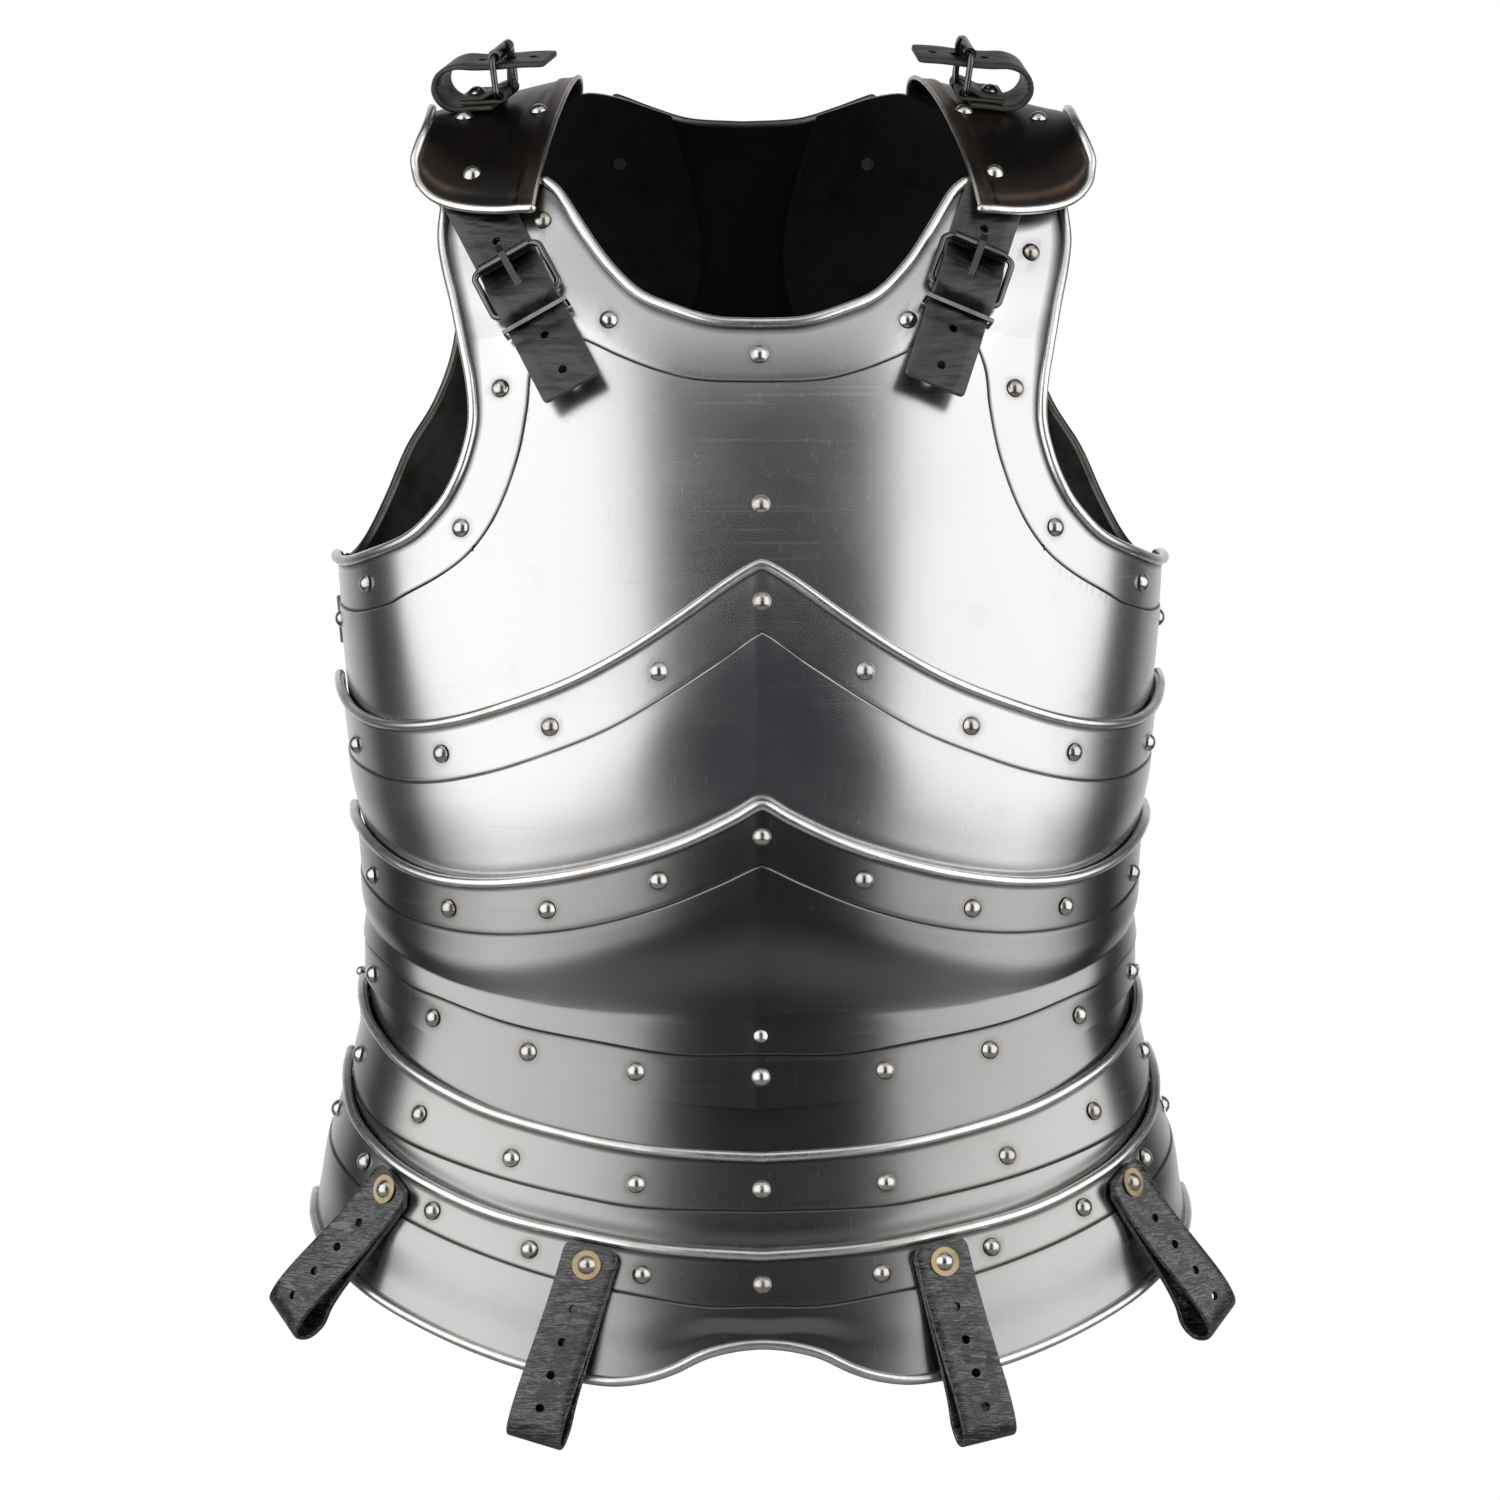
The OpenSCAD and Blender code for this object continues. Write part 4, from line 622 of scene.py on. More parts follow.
def breastPatches():  # right half: lower field, upper field, neck border, arm border, shoulder
    form = breastForm
    columns, (nLow, nLine) = form["columns"], form["rows"]
    line = onPath(paced(form["armLine"]), shares(nLine))
    armEdge = onPath(paced(form["armEdge"]), shares(nLine))
    split = int(np.argmin(np.abs(line[:, 0] - form["split"])))
    shelfT = shares(columns) * line[split, 0]
    shelf = np.stack([shelfT, along(form["shelf"], shelfT)], -1)
    shelf[-1] = line[split]
    ledge = np.concatenate([shelf, line[:split][::-1]])
    foot = np.stack([ledge[:, 0], along([(t, z - form["lap"]) for t, z in upperPlackartEdge], ledge[:, 0])], -1)
    low = foot[None] + shares(nLow)[:, None, None] * (ledge - foot)[None]
    neckLine = onPath(paced(form["neckLine"]), shares(columns))
    neckLine[-1] = line[-1]
    nMain = nLine - split
    centre = np.stack([np.zeros(nMain + 1), np.linspace(shelf[0, 1], neckLine[0, 1], nMain + 1)], -1)
    main = coons(shelf, neckLine, centre, line[split:])
    neckT = shares(columns) * neckEdge[-1][0]
    neck = stripBetween(neckLine, np.stack([neckT, along(neckEdge, neckT)], -1), form["strip"], form["stripRows"])
    arm = np.swapaxes(stripBetween(line, armEdge, form["strip"], form["stripRows"]), 0, 1)
    count = arm.shape[1]
    armTop = onPath(paced(form["armTop"]), shares(count - 1))
    shoulderTop = onPath(paced(form["shoulder"]), shares(count - 1))
    corner = coons(arm[-1], shoulderTop, neck[:, -1], armTop)
    n = form["stripRows"] - 2
    levels = np.array([[0, 0.9, 1.15] + [1.0] * (n + 3), [0.9, 1.0, 0.8, 0.3] + [0.05] * n + [0.35, 0.9],
                       [0, 1.0, 1.0, 0] + [0.0] * n + [0.8, 0.9]])  # set back, wear, dark line of painted shade in the groove and under the rim, with some dirt
    ended, plain = levels.copy(), np.zeros((3, 1))
    ended[2, :4] = 0  # the painted shade of the engraved line ends below the shoulder
    patches = []
    for spots, across, up in ((low, plain, plain), (main, plain, plain), (neck, plain, levels),
                              (arm, levels, plain), (corner, ended, ended)):
        sink, wear, shadeAndDirtLine = np.maximum(across[:, None], up[:, :, None]) * np.ones(spots.shape[:2])
        grid = skin(*spotsOf(spots), plateForm["field"] - plateForm["borderDepth"] * sink)
        patches.append((grid, outward(*spotsOf(spots)), wear, shadeAndDirtLine))
    return patches


def makeBreastplate():
    right = breastPatches()
    left = [[handed(grid, -1) for grid in patch] for patch in right]
    neck, arm, corner = right[2:]
    neckRim = [np.concatenate([neck[k][-1, :0:-1] * (-1, 1, 1), neck[k][-1]]) for k in (0, 1)]
    armRim = [np.concatenate([arm[k][:, -1], corner[k][1:, -1]]) for k in (0, 1)]
    roll = plateForm["roll"]
    rims = [(*neckRim, roll), (*armRim, roll), (*(path * (-1, 1, 1) for path in armRim), roll)]
    rivets = both(breastForm["rivets"]) + [skin(t, z, plateForm["rivetAt"]) for t, z in breastForm["clear"]]
    plate("breastplate", right + left, rivets, rims, "polished_steel")


makeBreastplate()
print("breastplate made")

# Lames and plackarts: bands between two edges, whose border is set back at an engraved line
lameForms = {
    "upper_plackart": {
        "top": upperPlackartEdge, "low": [(t, z - 30) for t, z in lowerPlackartEdge],
        "line": [(0, -227), (5, -240.6), (12.5, -257), (20, -270), (29, -280.6), (38.6, -289), (50, -294.5),
                 (62, -295.5), (70, -293), (83, -288), (92, -283)],
        "band": (34, 0.80), "ridge": 1.0, "look": "polished_steel",
        "rivets": [(0, -213), (12.3, -243), (28, -267.5), (48, -281), (76, -281)]},
    "lower_plackart": {
        "top": lowerPlackartEdge, "low": flangeEdge,
        "line": [(0, -327.5), (4.7, -336), (12.8, -347), (23.6, -356), (35, -360.5), (46, -361), (56.5, -358.5),
                 (63, -356), (75, -348), (92, -339)],
        "lowLine": [(0, -411), (10.4, -411), (22, -406), (36.5, -399.5), (51, -390.5), (60, -386), (69, -378),
                    (82, -372), (92, -368)],
        "band": (34, 0.74), "ridge": 1.0, "look": "waist_steel",
        "rivets": [(0, -314.5), (13, -334), (30, -348), (49, -350), (74, -340), (0, -421.7), (16, -419.5),
                   (33, -412.5), (53, -400.5), (0, -404), (76, -386)]},
    "waist_lame": {
        "top": [(t, z + 16) for t, z in flangeEdge], "low": [(t, z - 26) for t, z in upperFauldEdge],
        "plainTop": True, "look": "waist_steel", "rivets": []},
    "upper_fauld_lame": {
        "top": upperFauldEdge, "low": [(t, z - 26) for t, z in lowerFauldEdge],
        "line": [(0, -481), (14, -479.6), (22.7, -475.4), (32.5, -470), (44, -463), (56, -455.6), (71, -445),
                 (82, -437), (92, -431)],
        "band": (28, 0.62), "look": "shaded_skirt_steel",
        "rivets": [(0, -470.7), (14.7, -468.5), (33, -459.5), (52, -444), (78, -424)]},
    "lower_fauld_lame": {
        "top": lowerFauldEdge, "low": hemEdge,
        "line": [(0, -521), (6, -521), (15, -516), (24.5, -510.5), (36, -501.6), (47.6, -492), (59, -482.7),
                 (70, -473.5), (92, -458)],
        "band": (25, 0.85), "hem": True, "look": "shaded_skirt_steel",
        "rivets": [(0, -511), (13.4, -507), (28.5, -498), (45, -484.5), (63, -468), (84, -451)]},
    "upper_culet_lame": {
        "top": [(0, -398), (30, -397), (60, -394), (90, -390)],
        "low": [(0, -472), (30, -470), (60, -464), (90, -456)],
        "line": [(0, -420), (30, -419), (60, -416), (90, -412)],
        "band": (16, 0.5), "back": True,
        "rivets": [(0, -409), (20, -408.5), (45, -407), (66, -405), (80, -403)]},
    "lower_culet_lame": {
        "top": [(0, -446), (30, -444), (60, -438), (90, -430)],
        "low": [(0, -540), (20, -540), (45, -530), (70, -510), (90, -494)],
        "line": [(0, -468), (30, -466), (60, -460), (90, -452)],
        "band": (29, 0.7), "back": True, "hem": True,
        "rivets": [(0, -457), (20, -456.5), (45, -452), (64, -448), (80, -444)]},
}
lameGrain = {
    "ends": 91, "backEnds": 84, "columns": 220,
    "stepAt": [0.55, 1.1, 2.4], "stepDepth": [0.9, 1.15, 1.0],
    "fieldRows": 34, "hemRows": 20, "borderRows": 12, "footRows": 8,
    "ridgeWidth": 12,
    "lapRoom": 0.9,  # the upper plackart's foot lies this much lower, so that the next plate can turn
}


def makeLame(name, form):
    back, grain = form.get("back"), lameGrain
    ends = grain["backEnds" if back else "ends"]
    angles = np.linspace(-ends, ends, grain["columns"] + 1)
    turn = np.abs(angles)
    top, low = along(form["top"], turn), along(form["low"], turn)
    field = plateForm["hemField" if form.get("hem") else "field"]
    band = plateForm["culetBand" if name == "upper_culet_lame" else "band"]
    rows = []  # height, set back, wear, dark line of painted shade in the groove and under the rim, with some dirt
    if form.get("line"):
        line, start = along(form["line"], turn), low
        steps = [(d, depth, float(d < 2)) for d, depth in zip(grain["stepAt"], grain["stepDepth"])]
        if form.get("lowLine"):
            start = along(form["lowLine"], turn)
            inner = start - grain["stepAt"][-1]
            rows += [(low + f * (inner - low), 1.0, 0.1, 0) for f in shares(grain["footRows"])[:-1]]
            rows += [(start - d, depth, 0.9, shadeAndDirtLine) for d, depth, shadeAndDirtLine in steps[::-1]] + [(start, 0, 0.9, 0)]
        count = grain["hemRows" if form.get("hem") else "fieldRows"]
        rows += [(start + f * (line - start), 0, 0, 0) for f in shares(count)[(1 if rows else 0):-1]]
        rows += [(line, 0, 0.8, 0)] + [(line + d, depth, 0.8, shadeAndDirtLine) for d, depth, shadeAndDirtLine in steps]
        edge = line + grain["stepAt"][-1]
        rows += [(edge + f * (top - 4.4 - edge), 1.0, 0.05 + 0.5 * f**6, 0) for f in shares(grain["borderRows"])[1:]]
        # Painted shadow, with some dirt, darkens the plate just under its rim
        rows += [(top - 3.2, 1.0, 0.7, 0.7), (top - 1.6, 1.0, 0.8, 0.9), (top, 1.0, 0.8, 0.9)]
    else:
        rows += [(low + f * (top - low), 0, 0, 0) for f in shares(20)]
    heights = np.array([row[0] for row in rows])
    sink, wear, shadeAndDirtLine = (np.array([row[k] for row in rows])[:, None] * np.ones_like(heights) for k in (1, 2, 3))
    down, up = top - heights, heights - low
    off = np.full_like(heights, field)
    if form.get("band"):
        near, far = form["band"]
        reach = np.maximum(far * (top - low), near + 9)
        off = band + (field - band) * smoothStep(down, near, reach)
    if name == "lower_plackart":
        off = np.maximum(off, band + (field - band) * smoothStep(up, 15, 40))
    side = np.abs(torso(angles, heights)[..., 0])
    ridge = form.get("ridge", 0.0) * np.exp(-side / grain["ridgeWidth"]) * smoothStep(down, -4, 10)
    off = off - plateForm["borderDepth"] * sink
    if name == "upper_plackart":  # no ridge under the next plate's lap
        ridge = ridge * smoothStep(up, 24, 40)
        off = off - grain["lapRoom"] * (1 - smoothStep(up, 24, 38))
    centre = 180 if back else 0
    grid = skin(centre + angles, heights, off + ridge)
    ups = normalsOf(grid)
    rims = [] if form.get("plainTop") else [(grid[-1], ups[-1], plateForm["roll"])]
    if form.get("hem"):
        rims.append((grid[0], ups[0], plateForm["roll"]))
    plate(name, [(grid, ups, wear, shadeAndDirtLine)], both(form["rivets"], centre), rims, form.get("look", "back_steel"))


for lameName, lameForm in lameForms.items():
    makeLame(lameName, lameForm)
print("lames made")

# Backplate of three plates
backForm = {
    "end": 84,
    "foot": -414,
    "centreFoot": -404,
    "arm": [(84, -198), (79, -201), (72, -198), (66, -189), (60, -172), (54.5, -150), (48.5, -130), (45, -108),
            (44.5, -86), (47, -65), (51, -45), (55, -32), (60, -21)],
    "neck": [(0, -0.5), (7, 1), (13, 6), (20, 12), (26, 14.5), (29, 12.5), (33, 8)],
    "bladeEdge": [(15, 12), (-33, 6.6), (-65, 5.2), (-88, 6.7), (-130, 12), (-180, 18), (-250, 22), (-420, 20)],
    "centreEdge": [(15, 20), (-50, 31), (-120, 37), (-220, 37), (-320, 33), (-420, 30)],
    "tabIn": (33, 8),
    "neckShare": 0.5,
    "shelfShare": 0.53,
    "armSag": 12,
    "seamRivets": [(19, -16), (27, -65), (32, -130), (33, -200), (30, -280), (27, -360)],
    "columns": 60,
    "rows": (50, 76),
    "centreGrid": (80, 120),
}


def bladeInner(f):  # the blade plate's edge at the centre plate, from foot to neck
    z = backForm["foot"] + (backForm["neck"][2][1] - backForm["foot"]) * f
    return np.stack([along(backForm["bladeEdge"], z), z], -1)


def bladeLow(u, f):  # its rows below the arm opening
    edge = bladeInner(f * backForm["shelfShare"])
    side = backForm["foot"] + (backForm["arm"][0][1] - backForm["foot"]) * f
    return np.stack([backForm["end"] + (edge[..., 0] - backForm["end"]) * u,
                     side + (edge[..., 1] - side) * u - backForm["armSag"] * np.sin(math.pi * u) * f], -1)


def bladeTop(u):  # its edge from the arm's tip to the neck
    share = backForm["neckShare"]
    tip, tab = np.array(backForm["arm"][-1], float), np.array(backForm["tabIn"], float)
    inner = bladeInner(np.array(1.0))
    first = tip + (tab - tip) * (u / share)[:, None]
    t = tab[0] + (inner[0] - tab[0]) * (u - share) / (1 - share)
    second = np.stack([t, along(backForm["neck"], t)], -1)
    return np.where((u <= share)[:, None], first, second)


def makeBlades():
    form = backForm
    nLow, nHigh = form["rows"]
    u = shares(form["columns"])
    low = np.array([bladeLow(u, np.full(len(u), f)) for f in shares(nLow)])
    pace = paced([(180 - t, z) for t, z in form["arm"]])
    arm = onPath(pace, shares(nHigh)) * (-1, 1) + (180, 0)
    inner = bladeInner(form["shelfShare"] + (1 - form["shelfShare"]) * shares(nHigh))
    high = coons(low[-1], bladeTop(u), arm, inner)
    spots = np.concatenate([low, high[1:]])
    grid = skin(180 - spots[..., 0], spots[..., 1], np.full(spots.shape[:2], plateForm["field"]))
    wear = np.zeros(spots.shape[:2])
    wear[:, :2] = 0.5
    rivets = [skin(180 - t, z, plateForm["rivetAt"]) for t, z in form["seamRivets"]]
    for sideName, sign in (("right", 1), ("left", -1)):
        shape, marks = handed(grid, sign), handed(wear, sign)
        ups, column = normalsOf(shape), 0 if sign > 0 else -1
        plate(f"{sideName}_blade_plate", [(shape, ups, marks, 0 * marks)], [p * (sign, 1, 1) for p in rivets],
              [(shape[nLow:, column], ups[nLow:, column], plateForm["roll"])], "back_steel",
              rimLook="back_rim", back="inner_blade")


def makeBackCentre():
    form = backForm
    columns, rows = form["centreGrid"]
    u = np.linspace(-1, 1, columns + 1)
    top = along(form["neck"], np.abs(u) * form["centreEdge"][0][1])
    z = form["centreFoot"] + shares(rows)[:, None] * (top - form["centreFoot"])[None]
    t = 180 + u[None] * along(form["centreEdge"], z)
    grid = skin(t, z, np.full(z.shape, plateForm["centre"]))
    wear = np.zeros(z.shape)
    wear[:, :2] = wear[:, -2:] = 0.6
    ups = normalsOf(grid)
    plate("backplate_centre", [(grid, ups, wear, 0 * wear)], both(form["seamRivets"], 180),
          [(grid[-1], ups[-1], plateForm["roll"])], "back_steel", rimLook="back_rim")


makeBlades()
makeBackCentre()
print("backplate made")

# Shoulder caps
capForm = {
    "off": 9.4, "backOff": 6,
    "edge": [(0, 32, -46), (0.25, 39, -46.5), (0.5, 46, -44.5), (0.72, 52, -40), (0.88, 57, -32), (1, 60, -22)],
    "back": [(27, 5), (61, -30)],
    "tops": (12.5, 4),
    "columns": 64, "rows": 96,
    "width": 62, "length": 95,  # of the steel, from the neck edge and from the front edge
    "outerRoll": 2.0, "innerRoll": 1.05,
    "ridge": (5.5, 1.1), "groove": (4.2, 1.2), "crease": (25, 1.6),  # place and spread of the raised and sunk lines
    "lift": (0.7, -0.5, 0.25),  # their heights
    "rivets": [(0.3, 0.93), (0.72, 0.93), (0.13, 0.4), (0.67, 0.37)],
    "strapRivet": [(0.46, 0.12), (0.16, 0.14)],
    "strapAt": [(0.58, 0.46), (0.33, 0.46)],
}


def capPoint(p, s):  # p runs from the neck edge outwards, s from the front edge to the back edge
    p, s = np.broadcast_arrays(np.asarray(p, float), np.asarray(s, float))
    form = capForm
    (ta, za), (tb, zb) = form["back"]
    ends = []  # point and upward direction at the front edge and at the back edge
    for t, z, off in ((along(form["edge"], p, 1), along(form["edge"], p, 2), form["off"]),
                      (180 - (ta + (tb - ta) * p), za + (zb - za) * p, form["backOff"])):
        off = np.full(p.shape, off)
        ends += [skin(t, z, off), unit(skin(t, z + 1, off) - skin(t, z - 1, off))]
    p0, d0, p3, d3 = ends
    top = form["tops"][0] + (form["tops"][1] - form["tops"][0]) * p
    reach = ((8 * top - 4 * (p0[..., 2] + p3[..., 2])) / (3 * (d0[..., 2] + d3[..., 2])))[..., None]
    s = s[..., None]
    r = 1 - s
    return r**3 * p0 + 3 * r**2 * s * (p0 + reach * d0) + 3 * r * s**2 * (p3 + reach * d3) + s**3 * p3


def capNormal(p, s):
    return unit(np.cross(capPoint(min(p + 0.02, 1), s) - capPoint(max(p - 0.02, 0), s),
                         capPoint(p, min(s + 0.02, 1)) - capPoint(p, max(s - 0.02, 0))))


def hump(x, place, spread):
    return np.exp(-((x - place) / spread) ** 2)


def makeCaps():
    form = capForm
    p, s = np.meshgrid(shares(form["columns"]), shares(form["rows"]))
    grid = capPoint(p, s)
    inner, outer, front = p * form["width"], (1 - p) * form["width"], s * form["length"]
    ridge = hump(inner, *form["ridge"])  # beside the neck edge
    groove = np.minimum(hump(front, *form["groove"]) + hump(outer, *form["groove"]), 1)
    crease = hump(inner + s * 30, *form["crease"]) * smoothStep(s, 0.12, 0.2)
    a, b, c = form["lift"]
    grid = grid + normalsOf(grid) * (a * ridge + b * groove + c * crease)[..., None]
    wear = np.maximum(np.exp(-inner / 4), 0.7 * groove)
    for k, (sideName, sign) in enumerate((("left", -1), ("right", 1))):
        shape, marks = handed(grid, sign), handed(wear, sign)
        ups = normalsOf(shape)
        spots = [capPoint(a, b) * (sign, 1, 1) for a, b in form["rivets"] + [form["strapRivet"][k]]]
        innerColumn, outerColumn = (0, -1) if sign > 0 else (-1, 0)
        outerRim = [np.concatenate([face[0][::sign], face[1:-8, outerColumn]]) for face in (shape, ups)]
        rims = [(*outerRim, form["outerRoll"]), (shape[:, innerColumn], ups[:, innerColumn], form["innerRoll"])]
        plate(f"{sideName}_shoulder_cap", [(shape, ups, marks, 0 * marks)], spots, rims, "cap_metal",
              edgeLook="cap_rim", metal="metal")


makeCaps()
print("caps made")

# Leather. A frame is an origin, along the strap, outward and across it.
strapForm = {
    "width": 28, "thickness": 2.4, "chapeWidth": 22, "chapeThickness": 1.8, "sideWidth": 22,
    "angle": [32.5, 28.5], "height": [-79, -75], "lean": [31, 24],
    "wire": 1.5, "fit": 0.1, "barAt": 8, "seat": 0.3, "sideAt": (112, -228),
    "root": [[(-74, -5.6), (-69, -3.3), (-65, -1.3), (-61, 0.2), (-56, 0.8), (-48, 1.2), (-38, 0.8), (-28, 0.5)],
             [(-64, -8.6), (-60, -6), (-57, -3.2), (-54, 0), (-48, 0.8), (-38, 0.7), (-28, 0.5)]],
    "underBuckle": [(-20, 0.5), (-15, 0.5), (-12, 1.3), (-8, 3.9), (-4, 6.2), (2, 7.6), (8, 7.9), (12, 7.3), (17, 4.5)],
    "tail": [(24, 5.2), (31, 7.3), (44, 9), (57, 11)],
    "holes": [-28, 28, 47],
    "sideRows": [(-70, -4.8), (-60, -4.8), (-49, -4.8), (-46, -4.6), (-41, -2.2), (-36, 0.3), (-32, 0.9), (-26, 0.6)],
    "sideTail": [(25, 5), (32, 7.3), (46, 8.2)],
    "sideHoles": [36],
    "chapeEnd": 41,
    "slot": (-12.5, 1.5, 4.2),  # start, end and width
    "pocket": (10.8, 13.6, 4.4),  # cut in the chape's fold for the prong
    "holeRadius": 2.0,
}


def strapFrame(t, z, lean):
    out = outward(t, z)
    down = unit(torso(t, z - 1) - torso(t, z + 1))
    inward = np.cross(down, out)
    way = unit(math.cos(math.radians(lean)) * down + math.sin(math.radians(lean)) * inward)
    return torso(t, z), way, out, np.cross(way, out)


def sideFrame():
    out = outward(*strapForm["sideAt"])
    back = unit(np.cross((0, 0, 1), out))
    return torso(*strapForm["sideAt"]), back, out, np.cross(back, out)


def within(p):  # inside the torso form
    rings = torsoForm["rings"]
    return ((abs(p[0]) / along(rings, p[2])) ** (2 / torsoForm["sideBow"])
            + (abs(p[1]) / along(rings, p[2], 2 if p[1] < 0 else 3)) ** (2 / torsoForm["depthBow"])) < 1


def rise(f, s):  # height of the torso along a frame's outward axis
    low, high = -90.0, 30.0
    for _ in range(16):
        toneUnderFrontShade = (low + high) / 2
        if within(f[0] + s * f[1] + toneUnderFrontShade * f[2]):
            low = toneUnderFrontShade
        else:
            high = toneUnderFrontShade
    return (low + high) / 2


def outwardIn(f, s):  # the torso's normal in the frame's flat section
    d = unit(np.array([2, rise(f, s + 1) - rise(f, s - 1)]))
    return np.array([-d[1], d[0]])


def lay(f, s, w):  # a point w above the plate, in the same section
    return np.array([s, rise(f, s)]) + (plateForm["thickness"] + w) * outwardIn(f, s)


def smoothPath(points, n=8):
    points = np.asarray(points, float)
    made = []
    for i in range(len(points) - 1):
        a, b, c = points[max(i - 1, 0)], points[i], points[i + 1]
        d = points[min(i + 2, len(points) - 1)]
        for k in range(n):
            s = k / n
            made.append(0.5 * (2 * b + (c - a) * s + (2 * a - 5 * b + 4 * c - d) * s**2
                               + (3 * b - a - 3 * c + d) * s**3))
    return np.array(made + [points[-1]])


def belt(path, width, thick, world, startCut=0.0, endCut=1.5):
    # a leather strip of rounded edges along a flat path, its corners cut or rounded at the ends
    bm = bmesh.new()
    run = runOf(path)
    total = run[-1]
    marks = {*np.arange(0, total, 1.0), total}
    marks |= {m for k in (0.12, 0.3, 0.55, 0.8) for m in (k * max(startCut, 0.8), total - k * endCut)}
    marks = np.array(sorted(marks))
    line = resample(path, run, marks)
    ways = unit(np.gradient(line, axis=0))
    normals = np.stack([-ways[:, 1], ways[:, 0]], -1)
    tail = np.clip((marks - (total - endCut)) / endCut, 0, 1)
    half = width / 2 - endCut * 0.8 * (1 - np.sqrt(1 - tail**2))
    if startCut:
        half = half - startCut * (1 - np.clip(marks / startCut, 0, 1))
    soft = min(0.9, thick * 0.36)
    ring = []  # across, up, edge mark
    for cx, cy, a0 in ((1, 1, 0), (-1, 1, 90), (-1, -1, 180), (1, -1, 270)):
        for a in (0, 30, 60, 90):
            c, s = math.cos(math.radians(a0 + a)), math.sin(math.radians(a0 + a))
            ring.append((cx, soft * (c - cx), cy * (thick / 2 - soft) + soft * s))
        if cx == cy:
            ring += [(cx * x, 0, cy * thick / 2) for x in (0.6, 0.2, -0.2, -0.6)]
    ring.append(ring[0])
    across = np.array([[r[0] * h + r[1] for r in ring] for h in half])
    up = np.array([r[2] for r in ring])[None]
    ends = np.minimum(marks, total - marks)
    up = up * (1 - 0.28 * (1 - np.clip(ends / 0.7, 0, 1)) ** 2)[:, None]
    flat = line[:, None] + up[..., None] * normals[:, None]
    origin, way, out, side = world
    points = (origin + flat[..., :1] * way + flat[..., 1:] * out + across[..., None] * side)
    near = np.clip(1 - (half[:, None] - np.abs(across)) / 1.6, 0, 1)
    near = np.maximum(near, np.clip(1 - ends / 1.2, 0, 1)[:, None])
    made = gridOf(bm, points, {"edge": near})
    bmesh.ops.remove_doubles(bm, verts=made, dist=2e-6)
    return bm


def leatherPiece(node, look, bm, cuts, mirrored=False):
    # cuts are a place, an axis, a radius and a depth, or a place, three axes and three sizes
    bmesh.ops.holes_fill(bm, edges=[e for e in bm.edges if len(e.link_faces) == 1], sides=0)
    bmesh.ops.recalc_face_normals(bm, faces=bm.faces)
    tool = bmesh.new()
    for place, axes, *sizes in cuts:
        if len(sizes) == 2:
            radius, depth = (size * metre for size in sizes)
            turn = Vector(axes).to_track_quat("Z", "Y").to_matrix().to_4x4()
            turn.translation = Vector(place) * metre
            bmesh.ops.create_cone(tool, cap_ends=True, segments=20, radius1=radius, radius2=radius, depth=depth,
                                  matrix=turn)
        else:
            turn = Matrix([list(axis) for axis in axes]).transposed().to_4x4()
            turn.translation = Vector(place) * metre
            turn = turn @ Matrix.Diagonal((*(size * metre for size in sizes[0]), 1))
            bmesh.ops.create_cube(tool, size=1, matrix=turn)
            bmesh.ops.recalc_face_normals(tool, faces=tool.faces)
    name, look = node + "_leather", finishes[look]
    cutter, raw = asObject(name + "_punch", tool), asObject(name + "_raw", bm, [look])
    hole = raw.modifiers.new("holes", "BOOLEAN")
    hole.operation, hole.object, hole.solver = "DIFFERENCE", cutter, "EXACT"
    bm = applied(raw)
    bpy.data.meshes.remove(cutter.data)
    if mirrored:
        bmesh.ops.scale(bm, vec=(-1, 1, 1), verts=bm.verts)
        bmesh.ops.reverse_faces(bm, faces=bm.faces)
    crisp(bm, 42)
    stands(asObject(name, bm, [look]), node)


def at(f, s, h):  # the point of a frame along the strap and above its plate
    return f[0] + s * f[1] + h * f[2]


def seated(f, s, w):  # the point of lay and its normal in space
    (x, y), n = lay(f, s, w), outwardIn(f, s)
    return at(f, x, y), n[0] * f[1] + n[1] * f[2]


def makeBuckledStrap(k, sideName, kind):
    form = strapForm
    if kind == "shoulder":
        f = strapFrame(form["angle"][k], form["height"][k], form["lean"][k])
        rows = form["root"][k] + form["underBuckle"] + form["tail"]
        width, chapeWidth, holes = form["width"], form["chapeWidth"], form["holes"]
    else:
        f = sideFrame()
        rows = form["sideRows"] + form["underBuckle"] + form["sideTail"]
        width, chapeWidth, holes = form["sideWidth"], form["sideWidth"] - 4, form["sideHoles"]
    thick, left = form["thickness"], k == 0
    path = smoothPath([lay(f, s, w + thick / 2) for s, w in rows])
    a, b, slotWidth = form["slot"]
    cuts = [(*seated(f, s, 0), form["holeRadius"], 60) for s in holes]
    cuts.append((at(f, (a + b) / 2, 0), f[1:], (b - a, 60, slotWidth)))
    leatherPiece(f"{sideName}_{kind}_strap", "strap_leather", belt(path, width, thick, f, endCut=2.2), cuts, left)
    # The chape folds round the buckle's bar
    ct = form["chapeThickness"]
    clear = form["wire"] + form["fit"]
    fold = clear + ct / 2
    bar = lay(f, form["barAt"], form["seat"] + clear + ct)
    n = outwardIn(f, form["barAt"])
    turn = math.atan2(n[1], n[0]) - math.pi / 2
    low = [lay(f, s, form["seat"] + ct / 2) for s in (form["chapeEnd"], 36, 31, 26, 21, 16, 12)]
    nose = [bar + fold * np.array([math.cos(a + turn), math.sin(a + turn)])
            for a in np.radians(np.arange(270, 80, -22))]
    high = [lay(f, s, form["seat"] + 1.5 * ct + 0.02) for s in (18, 22, 27, 32, 36.5, form["chapeEnd"])]
    cuts = [(at(f, bar[0] - 2, bar[1]), f[1:], form["pocket"])]
    leatherPiece(f"{sideName}_{kind}_chape", "chape_leather",
                 belt(smoothPath(low + nose + high, 5), chapeWidth, ct - 0.04, f), cuts, left)


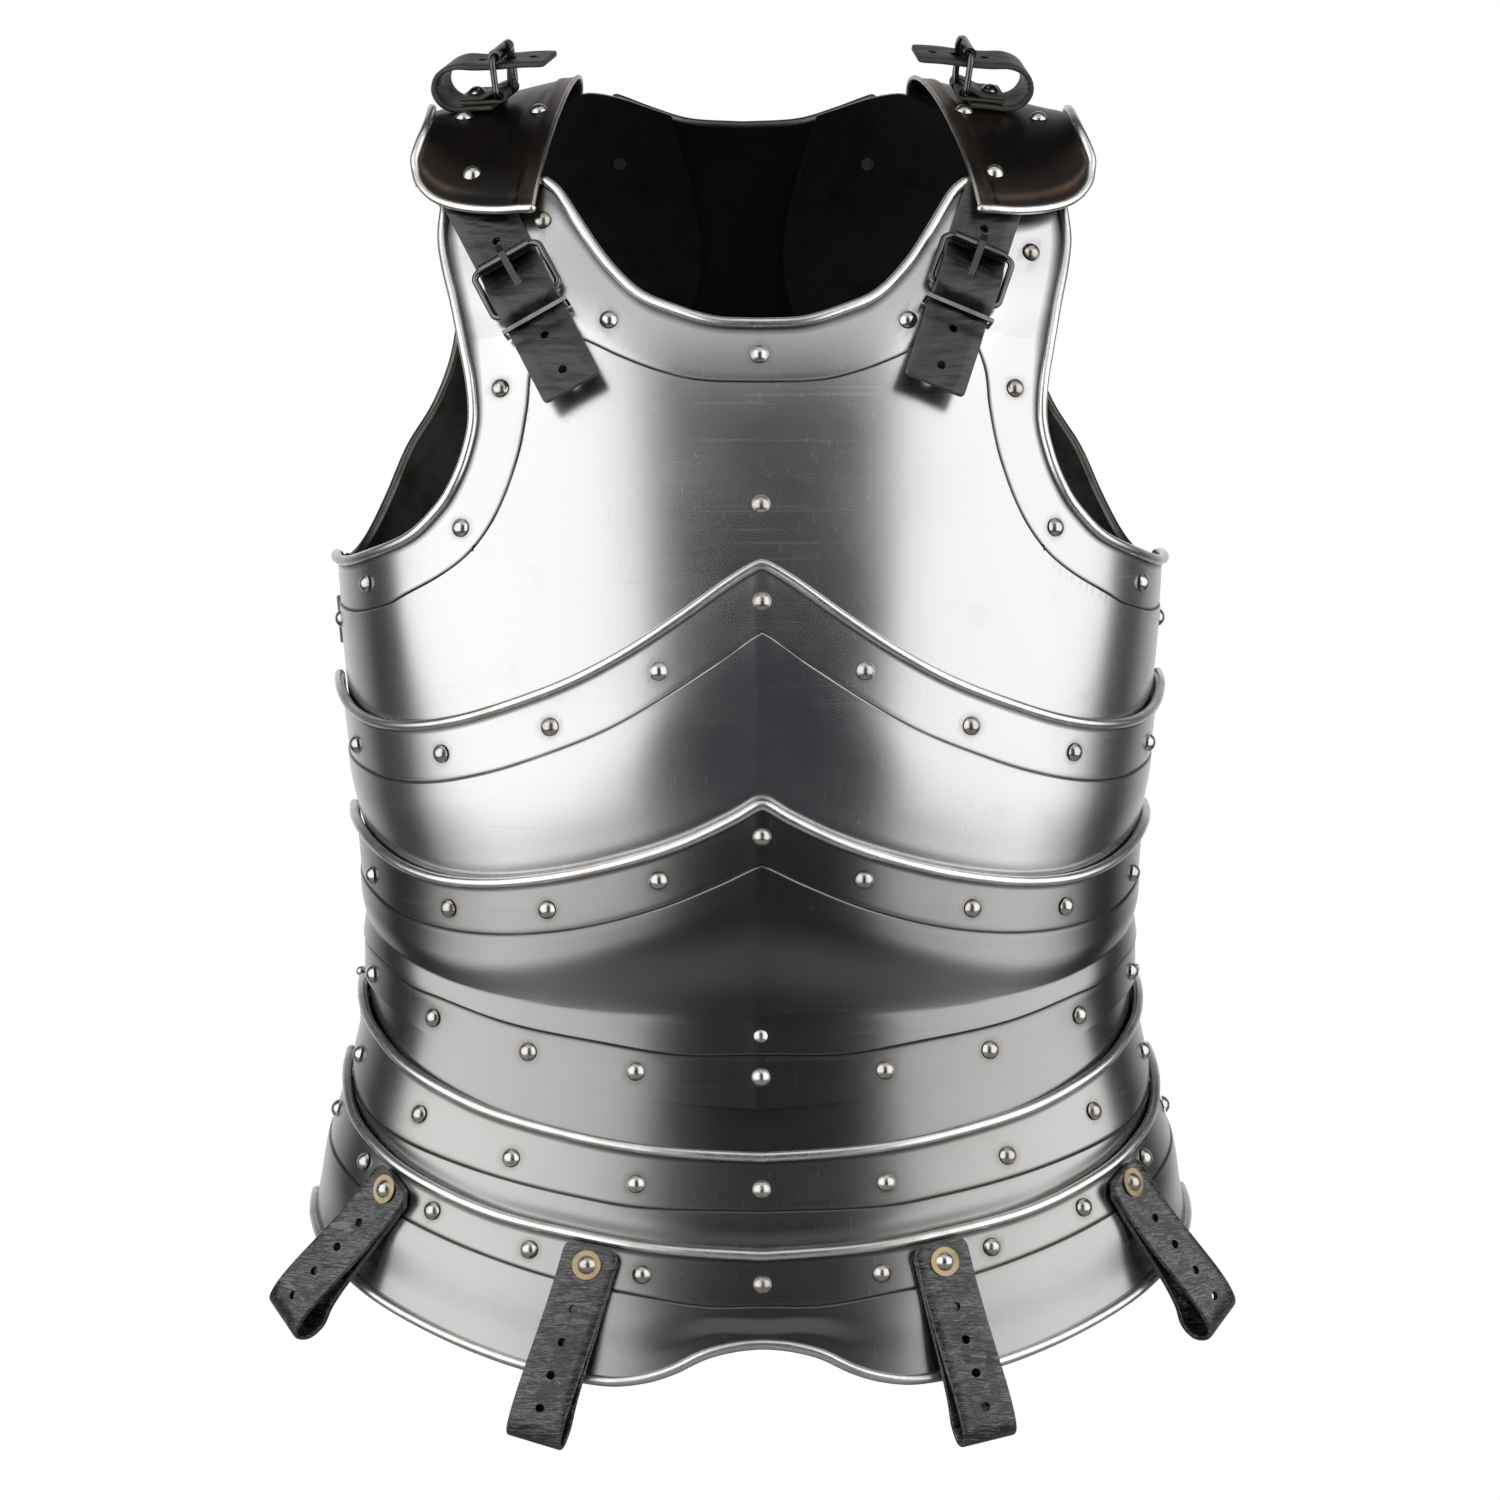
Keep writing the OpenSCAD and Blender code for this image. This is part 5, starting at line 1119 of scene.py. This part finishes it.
pauldronForm = {
    "turn": [17, 6], "width": 25, "rivetAt": -14, "seat": 0.4, "gap": 0.3,
    "billet": [(-4, 1.6), (-12, 1.6), (-22, 1.6), (-28, 4.8), (-30.5, 11), (-27.5, 17.8), (-20, 21), (-10, 20.3)],
    "billetEnd": [(0, 13.6), (12, 13.9), (23, 13.5)],
    "holes": [(3.9, 2.9), (-9, 2.0), (15, 2.0)],  # place and radius
    "pocket": (8.8, 13.6, 4.4),
}


def makePauldronStrap(k, sideName):
    form, sizes = pauldronForm, strapForm
    p, s = capForm["strapAt"][k]
    n = capNormal(p, s)
    turn = math.radians(form["turn"][k])
    inward = np.array([-math.cos(turn), -math.sin(turn), 0])
    way = unit(inward - np.dot(inward, n) * n)
    origin = capPoint(p, s) + plateForm["thickness"] / 2 * n - form["rivetAt"] * way
    f = (origin, way, n, np.cross(way, n))
    thick, ct = sizes["thickness"], sizes["chapeThickness"]
    clear = sizes["wire"] + sizes["fit"]
    low = form["seat"] + thick + form["gap"]
    bar, fold = low + clear + ct, clear + ct / 2
    path = form["billet"] + [(s, bar + h) for s, h in form["billetEnd"]]
    cuts = [(at(f, s, 45), n, r, 62) for s, r in form["holes"]]
    leatherPiece(f"{sideName}_pauldron_billet", "chape_leather",
                 belt(smoothPath(path), form["width"], thick, f, endCut=3.5), cuts, k == 0)
    path = [(s, low + ct / 2) for s in (-19.5, -12, -5)]
    path += [(fold * math.cos(a), bar + fold * math.sin(a)) for a in np.radians(np.arange(-90, 100, 20))]
    path += [(-4.5, bar + fold - 1.2), (-9, low + 1.5 * ct + 0.1)] + [(s, low + 1.5 * ct + 0.02) for s in (-14, -19.5)]
    leatherPiece(f"{sideName}_pauldron_chape", "chape_leather",
                 belt(smoothPath(path, 5), form["width"] - 4, ct - 0.04, f),
                 [(at(f, 1, bar), f[1:], form["pocket"])], k == 0)


loopForm = {
    "places": {"left_outer_loop": (-53.5, -478, -36, 6.2), "left_inner_loop": (-20, -504, -14, 9),
               "right_inner_loop": (21, -503.5, 10, 9), "right_outer_loop": (54.5, -477, 30, 6.2)},
    "width": 25, "length": 80, "seat": 4.7, "cut": 4.95,
    "rivetHole": 2.3, "hole": 2.0, "firstHole": 20, "pitch": 15,
}


def makeLoop(name, place):
    form, thick = loopForm, strapForm["thickness"]
    t, z, turn, above = place
    n = outward(t, z)
    over = unit(np.cross((0, 0, 1), n))
    down, a = np.cross(over, n), math.radians(turn)
    way = math.cos(a) * down + math.sin(a) * over
    side = -math.sin(a) * down + math.cos(a) * over
    f = (skin(t, z, form["seat"]), way, n, side)
    back = 0.3 + thick / 2
    front = back + thick + 0.4
    l = form["length"]
    path = [(-above, back), (5, back), (20, back + 0.3), (34, back + 0.9), (48, back + 1.4), (l - 20, back + 0.5),
            (l - 10, -0.6), (l - 3, 1.5), (l - 1.2, 6.5), (l - 3.5, 11.3), (l - 11, 13), (l - 22, 12.2), (44, 9.6),
            (28, front + 2.2), (14, front + 0.5), (5, front), (-above, front)]
    cuts = [(at(f, 0, 2), n, form["rivetHole"], 30)]
    cuts += [(at(f, form["firstHole"] + k * form["pitch"], 14.6 + k * 0.4), n, form["hole"], 20) for k in range(4)]
    leatherPiece(name, "loop_leather",
                 belt(smoothPath(path), form["width"], thick, f, startCut=form["cut"], endCut=form["cut"]), cuts)


for k, sideName in enumerate(("left", "right")):
    makeBuckledStrap(k, sideName, "shoulder")
    makeBuckledStrap(k, sideName, "side")
    makePauldronStrap(k, sideName)
for loopName, loopPlace in loopForm["places"].items():
    makeLoop(loopName, loopPlace)
print("leather made")

# The rivets, buckles and washers keep their own shape and get their finish
for nodeName, node in frame["nodes"].items():
    # prongs take the darker copy of the nickel, painted shade
    look = finishes.get("prong_steel" if nodeName.endswith("_prong") else slotOf[nodeName])
    if look:
        if not node.material_slots:
            node.data.materials.append(look)
        for place in node.material_slots:
            place.material = look
print("metal fittings finished")
